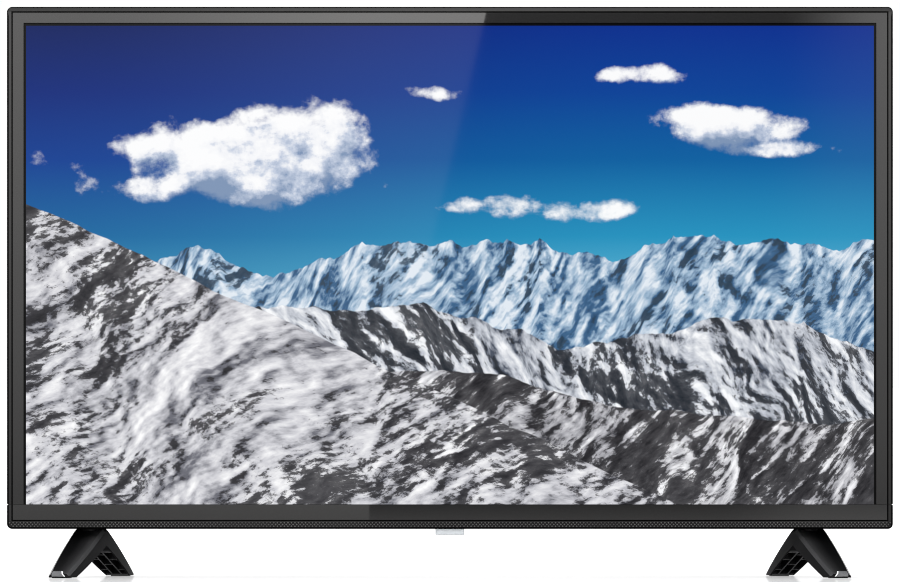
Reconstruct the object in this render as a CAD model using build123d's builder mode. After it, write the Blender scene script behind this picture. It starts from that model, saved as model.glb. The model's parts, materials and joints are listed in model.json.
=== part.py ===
from build123d import *
import os
from math import cos, radians, sin

# Flat screen television of the 32 inch class, standing on two splayed feet.
# Millimetres. +X is to the viewer's right, the screen faces -Y, +Z is up.
# The origin is on the floor under the middle of the set.

os.makedirs("parts", exist_ok=True)

# ------------------------------------------------------------ driving dimensions
HALF_W = 364.5  # half the body's width
BODY_Z0, BODY_Z1 = 39.8, 469.4  # body's lower and upper edge
CORNER_R = 4.2  # outer corners seen from the front
FRONT_Y = -30.0  # front face
FRONT_T = 1.7  # front wall of the bezel and trim
SKIRT_Y = -16.0  # back edge of the bezel's side walls
WALL = 2.0  # side walls of the bezel and trim
EDGE_R = 1.0  # rounding of the front outer edge
SEAM_Z, SEAM_GAP = 59.9, 0.12  # seam between the bezel and the lower trim, half its gap
NICK = 1.1  # nick at both ends of the seam
GROOVE_A, GROOVE_B = 3.6, 4.8  # shadow groove, measured in from the outer edge
GROOVE_D = 0.9
LOW_GROOVE_Z0, LOW_GROOVE_Z1 = 46.1, 47.3
OPEN_HALF_W, OPEN_Z1 = 350.4, 455.8  # screen opening of the bezel
PANEL_HALF_W, PANEL_Z0, PANEL_Z1 = 354.0, 54.0, 459.2
PANEL_FRONT, PANEL_BACK = -28.0, -26.5
COVER_T = 2.2  # rear cover's wall
COVER_FRONT, RIM_Y, BACK_Y, HOUSING_Y = -15.7, -8.0, 8.0, 48.0
RECESS_Y = 1.0  # floor of the socket recesses
SIDE_RECESS = (190.0, 326.0, 92.0, 205.0)  # x0, x1, z0, z1
LOW_RECESS = (-75.0, 185.0, 30.0, 84.0)
VESA_W, VESA_H, VESA_Z = 200.0, 100.0, 318.0
VESA_R = 2.0
FOOT_X, FOOT_TURN = 295.5, 16.3  # place and turn of each foot
FOOT_U, FOOT_T0, FOOT_T1 = 91.0, 26.8, 17.6  # half length, thickness at the neck and toes
FOOT_TOP, FOOT_APEX = 40.6, 25.8
KEY_X, KEY_PITCH, KEY_Z0 = -331.0, 16.0, 127.0
KEY_W, KEY_H = 9.0, 6.4
SPEAKER_X, SPEAKER_Y = 236.0, 17.7
BOARD = (-60.0, 180.0, 88.0, 212.0)  # main board x0, x1, z0, z1
BOARD_Y0, BOARD_Y1 = 3.8, 5.4
LED_X = [-294 + 84 * i for i in range(8)]
LED_Z = [132.0, 257.0, 382.0]

BOSSES = [(s * 358.2, z) for s in (-1, 1) for z in (90, 170, 250, 330, 410)]
TOP_BOSSES = [(x, 463.1) for x in (-300, -150, 0, 150, 300)]
LOW_BOSSES = [(x, 50.6) for x in (-335, -250, -150, 150, 250, 335)]
COVER_SCREWS = (
    [(x, 436) for x in (-290, -97, 97, 290)]
    + [(s * 331, z) for s in (-1, 1) for z in (75, 262, 350)]
    + [(-180, 268), (180, 268)]
)
BOARD_SCREWS = [(-20, 94), (174, 94), (-54, 206), (174, 206), (84, 94), (62, 206)]
VESA_HOLES = [
    (sx * VESA_W / 2, VESA_Z + sz * VESA_H / 2) for sx in (-1, 1) for sz in (-1, 1)
]
FLEX_X = (-225.0, -75.0, 75.0, 225.0)


def at_y(y):
    # plane across the depth: sketch x is +X, sketch y is +Z, and it faces the viewer
    return Plane.XZ.offset(-y)


def at_x(x):
    # plane facing +X: sketch x is +Y, sketch y is +Z
    return Plane.YZ.offset(x)


def at_z(z):
    return Plane.XY.offset(z)


def rect(a0, a1, b0, b1, mode=Mode.ADD):
    with Locations(((a0 + a1) / 2, (b0 + b1) / 2)):
        Rectangle(a1 - a0, b1 - b0, mode=mode)


def soft_rect(a0, a1, b0, b1, r):
    with Locations(((a0 + a1) / 2, (b0 + b1) / 2)):
        RectangleRounded(a1 - a0, b1 - b0, r)


def housing(outline, half_w, z0, z1, r_low, r_high):
    # outline of the lower housing, with its own radii below and above
    rect(-half_w, half_w, z0, z1)
    fillet(outline.vertices().group_by(Axis.Y)[0], r_low)
    fillet(outline.vertices().group_by(Axis.Y)[-1], r_high)


# ------------------------------------------------------------ front of the body
with BuildPart() as front_bezel:
    with BuildSketch(at_y(SKIRT_Y)) as bezel_outline:
        rect(-HALF_W, HALF_W, SEAM_Z + SEAM_GAP, BODY_Z1)
        fillet(bezel_outline.vertices().group_by(Axis.Y)[-1], CORNER_R)
    extrude(amount=SKIRT_Y - FRONT_Y)
    with BuildSketch(at_y(SKIRT_Y + 1)):
        with Locations((-HALF_W, SEAM_Z), (HALF_W, SEAM_Z)):
            Rectangle(NICK, NICK, rotation=45)
    extrude(amount=SKIRT_Y - FRONT_Y + 2, mode=Mode.SUBTRACT)
    front_edges = front_bezel.faces().sort_by(Axis.Y)[0].edges()
    fillet(front_edges.filter_by(lambda e: e.center().Z > SEAM_Z + 1), EDGE_R)
    with BuildSketch(at_y(SKIRT_Y)):
        rect(-HALF_W + WALL, HALF_W - WALL, SEAM_Z - 5, BODY_Z1 - WALL)
    extrude(amount=SKIRT_Y - FRONT_Y - FRONT_T, mode=Mode.SUBTRACT)
    with BuildSketch(at_y(SKIRT_Y)):
        rect(-OPEN_HALF_W, OPEN_HALF_W, SEAM_Z - 5, OPEN_Z1)
    extrude(amount=30, mode=Mode.SUBTRACT)
    lip = front_bezel.faces().sort_by(Axis.Y)[0].edges()
    inner = lip.filter_by(
        lambda e: abs(e.center().X) < OPEN_HALF_W + 0.01
        and e.center().Z < OPEN_Z1 + 0.01
        and e.center().Z > SEAM_Z + 1
    )
    chamfer(inner, 0.5)
    # shadow groove round the face
    with BuildSketch(at_y(FRONT_Y + GROOVE_D)):
        rect(-HALF_W + GROOVE_A, HALF_W - GROOVE_A, SEAM_Z - 5, BODY_Z1 - GROOVE_A)
        rect(
            -HALF_W + GROOVE_B,
            HALF_W - GROOVE_B,
            SEAM_Z - 6,
            BODY_Z1 - GROOVE_B,
            Mode.SUBTRACT,
        )
    extrude(amount=3, mode=Mode.SUBTRACT)
    # screw posts behind the face
    with BuildSketch(at_y(-22.7)):
        with Locations(*BOSSES, *TOP_BOSSES):
            Circle(2.0)
            Circle(0.95, mode=Mode.SUBTRACT)
    extrude(amount=-22.7 - (FRONT_Y + FRONT_T))
front_bezel.part.label = "front_bezel"
export_step(front_bezel.part, "parts/front_bezel.step")

with BuildPart() as lower_trim:
    with BuildSketch(at_y(SKIRT_Y)) as trim_outline:
        rect(-HALF_W, HALF_W, BODY_Z0, SEAM_Z - SEAM_GAP)
        fillet(trim_outline.vertices().group_by(Axis.Y)[0], CORNER_R)
    extrude(amount=SKIRT_Y - FRONT_Y)
    with BuildSketch(at_y(SKIRT_Y + 1)):
        with Locations((-HALF_W, SEAM_Z), (HALF_W, SEAM_Z)):
            Rectangle(NICK, NICK, rotation=45)
    extrude(amount=SKIRT_Y - FRONT_Y + 2, mode=Mode.SUBTRACT)
    trim_edges = lower_trim.faces().sort_by(Axis.Y)[0].edges()
    fillet(trim_edges.filter_by(lambda e: e.center().Z < SEAM_Z - 1), EDGE_R)
    with BuildSketch(at_y(SKIRT_Y)):
        rect(-HALF_W + WALL, HALF_W - WALL, BODY_Z0 + WALL, SEAM_Z + 5)
    extrude(amount=SKIRT_Y - FRONT_Y - FRONT_T, mode=Mode.SUBTRACT)
    with BuildSketch(at_y(FRONT_Y + GROOVE_D)):
        rect(-HALF_W + GROOVE_A, HALF_W - GROOVE_A, LOW_GROOVE_Z0, SEAM_Z + 5)
        rect(
            -HALF_W + GROOVE_B,
            HALF_W - GROOVE_B,
            LOW_GROOVE_Z1,
            SEAM_Z + 6,
            Mode.SUBTRACT,
        )
    extrude(amount=3, mode=Mode.SUBTRACT)
    # slot for the receiver window
    with BuildSketch(at_z(BODY_Z0 - 1)):
        rect(-12.1, 12.1, -27.5, -19.9)
    extrude(amount=4, mode=Mode.SUBTRACT)
    with BuildSketch(at_y(-22.7)):
        with Locations(*LOW_BOSSES):
            Circle(2.0)
            Circle(0.95, mode=Mode.SUBTRACT)
    extrude(amount=-22.7 - (FRONT_Y + FRONT_T))
lower_trim.part.label = "lower_trim"
export_step(lower_trim.part, "parts/lower_trim.step")

with BuildPart() as ir_window:
    # tab that shows under the trim, with a shoulder that keeps it in its slot
    with BuildSketch(at_z(34.95)):
        rect(-11.9, 11.9, -27.3, -20.1)
    extrude(amount=41.95 - 34.95)
    fillet(ir_window.faces().sort_by(Axis.Z)[0].edges(), 0.5)
    with BuildSketch(at_z(41.95)):
        rect(-14.5, 14.5, -27.9, -18.6)
    extrude(amount=0.9)
ir_window.part.label = "ir_window"
export_step(ir_window.part, "parts/ir_window.step")

with BuildPart() as ir_board:
    with BuildSketch(at_z(44.6)):
        rect(-24, 24, -27.6, -17.5)
    extrude(amount=1.0)
    with BuildSketch(at_z(44.6)):
        rect(-4, 2, -26, -21)
        with Locations((7.5, -23.5)):
            Circle(1.5)
    extrude(amount=-1.5)
    with BuildSketch(at_z(45.6)):
        rect(10, 22, -25, -19)
    extrude(amount=1.8)
ir_board.part.label = "ir_board"
export_step(ir_board.part, "parts/ir_board.step")

# ------------------------------------------------------------ screen stack, front to back
with BuildPart() as bezel_gasket:
    with BuildSketch(at_y(PANEL_FRONT)):
        rect(-353.6, 353.6, 54.6, 458.8)
        rect(-351.0, 351.0, 57.6, 456.3, Mode.SUBTRACT)
    extrude(amount=PANEL_FRONT - (FRONT_Y + FRONT_T))
bezel_gasket.part.label = "bezel_gasket"
export_step(bezel_gasket.part, "parts/bezel_gasket.step")

with BuildPart() as lcd_panel:
    with BuildSketch(at_y(PANEL_BACK)):
        rect(-PANEL_HALF_W, PANEL_HALF_W, PANEL_Z0, PANEL_Z1)
    extrude(amount=PANEL_BACK - PANEL_FRONT)
lcd_panel.part.label = "lcd_panel"
export_step(lcd_panel.part, "parts/lcd_panel.step")

with BuildPart() as middle_frame:
    with BuildSketch(at_y(-22.7)):
        rect(-361.8, 361.8, 47.6, 466.8)
        rect(-354.3, 354.3, 53.7, 459.5, Mode.SUBTRACT)
    extrude(amount=5.4)
    with BuildSketch(at_y(-24.9)):
        rect(-354.5, 354.5, 53.5, 459.7)
        rect(-350.2, 350.2, 58.7, 455.2, Mode.SUBTRACT)
    extrude(amount=1.3)
    with BuildSketch(at_y(-22.7)):
        rect(-354.5, 354.5, 53.5, 459.7)
        rect(-353.0, 353.0, 55.4, 458.2, Mode.SUBTRACT)
    extrude(amount=2.3)
    with BuildSketch(at_y(-20)):
        with Locations(*BOSSES, *TOP_BOSSES, *LOW_BOSSES):
            Circle(2.2)
    extrude(amount=10, mode=Mode.SUBTRACT)
    # gaps for the panel's flexes
    with BuildSketch(at_y(-22)):
        for x in FLEX_X:
            rect(x - 18, x + 18, 51.0, 53.9)
    extrude(amount=8, mode=Mode.SUBTRACT)
middle_frame.part.label = "middle_frame"
export_step(middle_frame.part, "parts/middle_frame.step")

with BuildPart() as optical_films:
    for y in (-24.6, -24.35):
        with BuildSketch(at_y(y)):
            rect(-352.6, 352.6, 55.8, 457.8)
        extrude(amount=0.2)
optical_films.part.label = "optical_films"
export_step(optical_films.part, "parts/optical_films.step")

with BuildPart() as diffuser_plate:
    with BuildSketch(at_y(-22.8)):
        rect(-352.6, 352.6, 55.8, 457.8)
    extrude(amount=1.5)
diffuser_plate.part.label = "diffuser_plate"
export_step(diffuser_plate.part, "parts/diffuser_plate.step")

with BuildPart() as reflector_sheet:
    with BuildSketch(at_y(-8.0)):
        rect(-335.5, 335.5, 68.5, 444.5)
    with BuildSketch(at_y(-22.6)):
        rect(-350.6, 350.6, 57.6, 455.9)
    loft()
    with BuildSketch(at_y(-8.35)):
        rect(-335.0, 335.0, 69.0, 444.0)
    with BuildSketch(at_y(-22.61)):
        rect(-350.0, 350.0, 58.2, 455.3)
    loft(mode=Mode.SUBTRACT)
    with BuildSketch(at_y(-7)):
        with Locations(*[(x, z) for x in LED_X for z in LED_Z]):
            Circle(8.2)
    extrude(amount=3, mode=Mode.SUBTRACT)
reflector_sheet.part.label = "reflector_sheet"
export_step(reflector_sheet.part, "parts/reflector_sheet.step")

with BuildPart() as led_bars:
    with BuildSketch(at_y(-7.0)):
        for z in LED_Z:
            rect(-312, 312, z - 6, z + 6)
    extrude(amount=1.0)
    with BuildSketch(at_y(-8.0)):
        with Locations(*[(x, z) for x in LED_X for z in LED_Z]):
            Rectangle(3, 3)
    extrude(amount=0.8)
led_bars.part.label = "led_bars"
export_step(led_bars.part, "parts/led_bars.step")

with BuildPart() as led_lenses:
    # wide angle dome over each LED
    with BuildSketch(at_y(-8.0)):
        with Locations(*[(x, z) for x in LED_X for z in LED_Z]):
            Circle(7.8)
            Circle(3.2, mode=Mode.SUBTRACT)
    extrude(amount=1.4)
    with BuildSketch(at_y(-9.4)):
        with Locations(*[(x, z) for x in LED_X for z in LED_Z]):
            Circle(7.0)
    extrude(amount=2.8, taper=24)
led_lenses.part.label = "led_lenses"
export_step(led_lenses.part, "parts/led_lenses.step")

with BuildPart() as diffuser_posts:
    with BuildSketch(at_y(-8.35)):
        with Locations(
            *[(x, z) for x in (-210, 0, 210) for z in (LED_Z[0] + 62, LED_Z[1] + 62)]
        ):
            Circle(5)
    extrude(amount=14.3, taper=14)
diffuser_posts.part.label = "diffuser_posts"
export_step(diffuser_posts.part, "parts/diffuser_posts.step")

with BuildPart() as backplane:
    # pressed steel pan with a flange that the bezel's screws go through
    with BuildSketch(at_y(-6.2)):
        rect(-338, 338, 66, 447)
    with BuildSketch(at_y(-21.8)):
        rect(-353, 353, 54.5, 458.5)
    loft()
    with BuildSketch(at_y(-21.8)):
        rect(-361.6, 361.6, 47.8, 466.6)
    extrude(amount=0.8)
    with BuildSketch(at_y(-7.0)):
        rect(-337.2, 337.2, 66.8, 446.2)
    with BuildSketch(at_y(-22.61)):
        rect(-352.1, 352.1, 55.3, 457.7)
    loft(mode=Mode.SUBTRACT)
    with BuildSketch(at_y(-20)):
        with Locations(*BOSSES, *TOP_BOSSES, *LOW_BOSSES):
            Circle(1.1)
        for x in FLEX_X:
            rect(x - 18, x + 18, 47, 53.0)
    extrude(amount=4, mode=Mode.SUBTRACT)
    with BuildSketch(at_y(-5)):
        with Locations(*COVER_SCREWS):
            Circle(1.5)
    extrude(amount=3, mode=Mode.SUBTRACT)
backplane.part.label = "backplane"
export_step(backplane.part, "parts/backplane.step")

with BuildPart() as source_board:
    with BuildSketch(at_y(-4.7)):
        rect(-250, 250, 67.5, 75.5)
    extrude(amount=1.2)
    with BuildSketch(at_y(-4.7)):
        rect(-14, 26, 69, 74)
    extrude(amount=-1.3)
source_board.part.label = "source_board"
export_step(source_board.part, "parts/source_board.step")

with BuildPart() as panel_flexes:
    # flexes that wrap from the panel's lower edge round to the source board
    for x in FLEX_X:
        with BuildSketch(at_x(x - 17)):
            rect(-27.3, -27.1, 51.6, 53.95)
            rect(-27.3, -4.5, 51.6, 51.8)
            rect(-4.7, -4.5, 51.6, 74)
        extrude(amount=34)
    # flat ribbon from the main board down to the source board
    with BuildSketch(at_x(-12)):
        with BuildLine():
            Polyline(
                (2.1, 104),
                (2.1, 96),
                (-2.95, 89),
                (-2.95, 71),
                (-3.2, 71),
                (-3.2, 89.1),
                (1.85, 96.1),
                (1.85, 104),
                close=True,
            )
        make_face()
    extrude(amount=36)
panel_flexes.part.label = "panel_flexes"
export_step(panel_flexes.part, "parts/panel_flexes.step")

# ------------------------------------------------------------ electronics
with BuildPart() as insulation_sheet:
    with BuildSketch(at_y(-5.6)):
        rect(BOARD[0] - 2, BOARD[1] + 2, BOARD[2] + 4, BOARD[3])
        with Locations(*BOARD_SCREWS):
            Circle(3.6, mode=Mode.SUBTRACT)
    extrude(amount=0.3)
insulation_sheet.part.label = "insulation_sheet"
export_step(insulation_sheet.part, "parts/insulation_sheet.step")

SPEAKER_EARS = [(s * x, 79) for s in (-1, 1) for x in (194.2, 277.8)]
with BuildPart() as board_standoffs:
    with BuildSketch(at_y(BOARD_Y0)):
        with Locations(*BOARD_SCREWS):
            Circle(3.0)
            Circle(1.45, mode=Mode.SUBTRACT)
    extrude(amount=BOARD_Y0 + 6.2)
    with BuildSketch(at_y(0.8)):
        with Locations(*SPEAKER_EARS):
            Circle(3.0)
            Circle(1.45, mode=Mode.SUBTRACT)
    extrude(amount=7.0)
board_standoffs.part.label = "board_standoffs"
export_step(board_standoffs.part, "parts/board_standoffs.step")

with BuildPart() as main_board:
    with BuildSketch(at_y(BOARD_Y1)) as board_outline:
        rect(*BOARD)
        fillet(board_outline.vertices(), 2)
        with Locations(*BOARD_SCREWS):
            Circle(1.7, mode=Mode.SUBTRACT)
    extrude(amount=BOARD_Y1 - BOARD_Y0)
main_board.part.label = "main_board"
export_step(main_board.part, "parts/main_board.step")

with BuildPart() as board_chips:
    for x0, x1, z0, z1, h in (
        (84, 107, 148, 171, 1.6),  # main chip
        (118, 130, 152, 164, 1.1),
        (84, 96, 178, 188, 1.1),
        (140, 150, 190, 200, 1.4),  # sound amplifier
        (60, 66, 120, 128, 1.5),
        (36, 44, 180, 186, 1.5),
        (8, 18, 120, 126, 1.5),
        (-2, 8, 176, 180, 9.0),  # switching transistors, upright
        (-18, -8, 176, 180, 9.0),
        (-44, -36, 116, 120, 8.0),  # bridge rectifier
    ):
        with BuildSketch(at_y(BOARD_Y1)):
            rect(x0, x1, z0, z1)
        extrude(amount=-h)
board_chips.part.label = "board_chips"
export_step(board_chips.part, "parts/board_chips.step")

with BuildPart() as heat_sinks:
    # finned sink on the main chip
    with BuildSketch(at_y(7.0)):
        rect(76, 115, 140, 179)
    extrude(amount=-2.0)
    with BuildSketch(at_y(8.9)):
        for i in range(8):
            rect(76 + 5.4 * i, 77.2 + 5.4 * i, 140, 179)
    extrude(amount=-9.0)
    # upright sink behind the switching transistors
    with BuildSketch(at_y(BOARD_Y1)):
        rect(-24, 14, 180, 182)
        for i in range(6):
            rect(-24 + 7.2 * i, -22 + 7.2 * i, 182, 194)
    extrude(amount=-24)
heat_sinks.part.label = "heat_sinks"
export_step(heat_sinks.part, "parts/heat_sinks.step")

with BuildPart() as capacitors:
    for x, z, r, h in (
        (-40, 190, 9.0, 26),
        (-46, 140, 5.0, 16),
        (22, 140, 5.0, 18),
        (34, 140, 5.0, 18),
        (22, 154, 5.0, 18),
        (34, 154, 4.0, 12),
        (52, 150, 3.2, 9),
        (52, 162, 3.2, 9),
        (130, 138, 3.2, 9),
        (142, 176, 4.0, 12),
        (158, 176, 4.0, 12),
    ):
        with BuildSketch(at_y(BOARD_Y1)):
            with Locations((x, z)):
                Circle(r)
        extrude(amount=-h)
capacitors.part.label = "capacitors"
export_step(capacitors.part, "parts/capacitors.step")

with BuildPart() as transformer:
    with BuildSketch(at_y(BOARD_Y1)):
        rect(-30, 3, 134, 139)
        rect(-30, 3, 159, 164)
        rect(-17, -10, 139, 159)
    extrude(amount=-20)
    with BuildSketch(at_y(BOARD_Y1 + 3)):
        with Locations((-13.5, 149)):
            RectangleRounded(27, 19.6, 4)
        rect(-17.05, -9.95, 138, 160, Mode.SUBTRACT)
    extrude(amount=-14)
transformer.part.label = "transformer"
export_step(transformer.part, "parts/transformer.step")

with BuildPart() as board_headers:
    for x0, x1, z0, z1 in (
        (134, 150, 203, 210),  # speakers
        (-6, 8, 203, 210),  # backlight
        (112, 124, 203, 210),  # keys
    ):
        with BuildSketch(at_y(BOARD_Y1)):
            rect(x0, x1, z0, z1)
        extrude(amount=-6.5)
    # receiver's header, on the other side
    with BuildSketch(at_y(BOARD_Y0)):
        rect(148, 160, 100, 107)
    extrude(amount=3.4)
board_headers.part.label = "board_headers"
export_step(board_headers.part, "parts/board_headers.step")

with BuildPart() as tuner:
    # screened can with the threaded aerial socket on its lower end
    with BuildSketch(at_y(BOARD_Y1)):
        rect(102, 128, 90, 124)
    extrude(amount=-12)
    with BuildSketch(at_z(90)):
        with Locations((115, 12)):
            Circle(5.0)
            Circle(2.2, mode=Mode.SUBTRACT)
    extrude(amount=-6.5)
    with BuildSketch(at_z(83.5)):
        with Locations((115, 12)):
            Circle(4.76)
            Circle(2.2, mode=Mode.SUBTRACT)
    extrude(amount=-9.5)
    with BuildSketch(at_z(84.0)):
        with Locations((115, 12)):
            Circle(4.7)
            Circle(0.6, mode=Mode.SUBTRACT)
    extrude(amount=3)
tuner.part.label = "tuner"
export_step(tuner.part, "parts/tuner.step")

HDMI_Z = (113.0, 135.0)
USB_Z = (157.0, 176.0)
with BuildPart() as hdmi_sockets:
    for z in HDMI_Z:
        with BuildSketch(at_x(176)):
            with Locations((8.9, z)):
                RectangleRounded(6.4, 15.6, 0.8)
        extrude(amount=14.2)
        with BuildSketch(at_x(190.2)):
            with Locations((8.9, z)):
                Trapezoid(
                    14.0, 4.6, 75, 75, rotation=90, align=(Align.CENTER, Align.CENTER)
                )
        extrude(amount=-11, mode=Mode.SUBTRACT)
        with BuildSketch(at_x(179.2)):
            rect(8.6, 9.6, z - 5, z + 5)
        extrude(amount=9.4)
hdmi_sockets.part.label = "hdmi_sockets"
export_step(hdmi_sockets.part, "parts/hdmi_sockets.step")

with BuildPart() as usb_sockets:
    for z in USB_Z:
        with BuildSketch(at_x(176)):
            rect(5.6, 12.2, z - 7.0, z + 7.0)
        extrude(amount=14.2)
        with BuildSketch(at_x(190.2)):
            rect(6.2, 11.6, z - 6.4, z + 6.4)
        extrude(amount=-12.5, mode=Mode.SUBTRACT)
        with BuildSketch(at_x(177.7)):
            rect(9.6, 11.4, z - 5.6, z + 5.6)
        extrude(amount=11)
usb_sockets.part.label = "usb_sockets"
export_step(usb_sockets.part, "parts/usb_sockets.step")

with BuildPart() as headphone_socket:
    with BuildSketch(at_x(174)):
        rect(5.6, 13.4, 189.5, 198.5)
    extrude(amount=12.6)
    with BuildSketch(at_x(186.6)):
        with Locations((9.5, 194)):
            Circle(3.4)
    extrude(amount=3.6)
    with BuildSketch(at_x(190.2)):
        with Locations((9.5, 194)):
            Circle(1.8)
    extrude(amount=-14, mode=Mode.SUBTRACT)
headphone_socket.part.label = "headphone_socket"
export_step(headphone_socket.part, "parts/headphone_socket.step")

AV_X = (26.0, 44.0, 62.0)
with BuildPart() as av_sockets:
    with BuildSketch(at_z(88.4)):
        rect(16, 72, 5.6, 18.4)
    extrude(amount=11)
with BuildPart() as av_barrels:
    # each barrel is a piece of its own, seated against the block
    for x in AV_X:
        with BuildSketch(at_z(88.4)):
            with Locations((x, 12)):
                Circle(4.35)
        extrude(amount=-4.9)
        with BuildSketch(at_z(83.5)):
            with Locations((x, 12)):
                Circle(4.15)
        extrude(amount=-8.5)
        with BuildSketch(at_z(75)):
            with Locations((x, 12)):
                Circle(1.6)
        extrude(amount=9, mode=Mode.SUBTRACT)
av_sockets.part = Compound(av_sockets.part.solids() + av_barrels.part.solids())
av_sockets.part.label = "av_sockets"
export_step(av_sockets.part, "parts/av_sockets.step")

with BuildPart() as ac_inlet:
    # two pin mains inlet, mouth down
    with BuildSketch(at_z(83.7)) as inlet_outline:
        rect(-55, -31, 5.6, 18.4)
        fillet(inlet_outline.vertices(), 1.5)
    extrude(amount=22)
    with BuildSketch(at_z(83.7)):
        with Locations((-43, 12)):
            SlotOverall(15.6, 8.8)
    extrude(amount=13, mode=Mode.SUBTRACT)
    with BuildSketch(at_z(96.7)):
        with Locations((-47.3, 12), (-38.7, 12)):
            Circle(1.2)
    extrude(amount=-9.5)
ac_inlet.part.label = "ac_inlet"
export_step(ac_inlet.part, "parts/ac_inlet.step")

with BuildPart() as terminal_plates:
    with BuildSketch(at_x(187.05)):
        rect(-0.9, 20, 92.2, 204.5)
        for z in HDMI_Z:
            with Locations((8.9, z)):
                Rectangle(7.0, 16.2, mode=Mode.SUBTRACT)
        for z in USB_Z:
            rect(5.3, 12.5, z - 7.3, z + 7.3, Mode.SUBTRACT)
        with Locations((9.5, 194)):
            Circle(3.7, mode=Mode.SUBTRACT)
    extrude(amount=0.5)
    with BuildSketch(at_z(86.5)):
        rect(-72, 184, -0.9, 20)
        for x in AV_X:
            with Locations((x, 12)):
                Circle(4.5, mode=Mode.SUBTRACT)
        with Locations((115, 12)):
            Circle(5.2, mode=Mode.SUBTRACT)
        rect(-55.4, -30.6, 5.2, 18.8, Mode.SUBTRACT)
    extrude(amount=0.5)
terminal_plates.part.label = "terminal_plates"
export_step(terminal_plates.part, "parts/terminal_plates.step")

# ------------------------------------------------------------ rear cover
with BuildPart() as cover_core:
    # the room inside the rear cover
    with BuildSketch(at_y(RIM_Y)):
        rect(-361.4, 361.4, 42.9, 466.3)
    extrude(amount=10)
    with BuildSketch(at_y(RIM_Y)):
        rect(-361.4, 361.4, 42.9, 466.3)
    with BuildSketch(at_y(BACK_Y - COVER_T)):
        rect(-343.9, 343.9, 43.8, 446.5)
    loft()
    with BuildSketch(at_y(BACK_Y - COVER_T - 0.2)) as outline:
        housing(outline, 316.9, 44.6, 248.9, 2.5, 12)
    with BuildSketch(at_y(HOUSING_Y - COVER_T)) as outline:
        housing(outline, 288.9, 48.0, 222.8, 2.5, 12)
    loft()
    for x0, x1, z0, z1 in (SIDE_RECESS, LOW_RECESS):
        with BuildSketch(at_y(70)):
            rect(x0 - COVER_T, x1 + COVER_T, z0 - COVER_T, z1 + COVER_T)
        extrude(amount=70 - (RECESS_Y - COVER_T), mode=Mode.SUBTRACT)

foot_frames = []
for s in (-1, 1):
    foot_frames.append(
        Plane(
            origin=(s * FOOT_X, 0, 0),
            x_dir=(
                s * sin(radians(FOOT_TURN)),
                -cos(radians(FOOT_TURN)),
                0,
            ),
            z_dir=(0, 0, 1),
        )
    )

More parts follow.
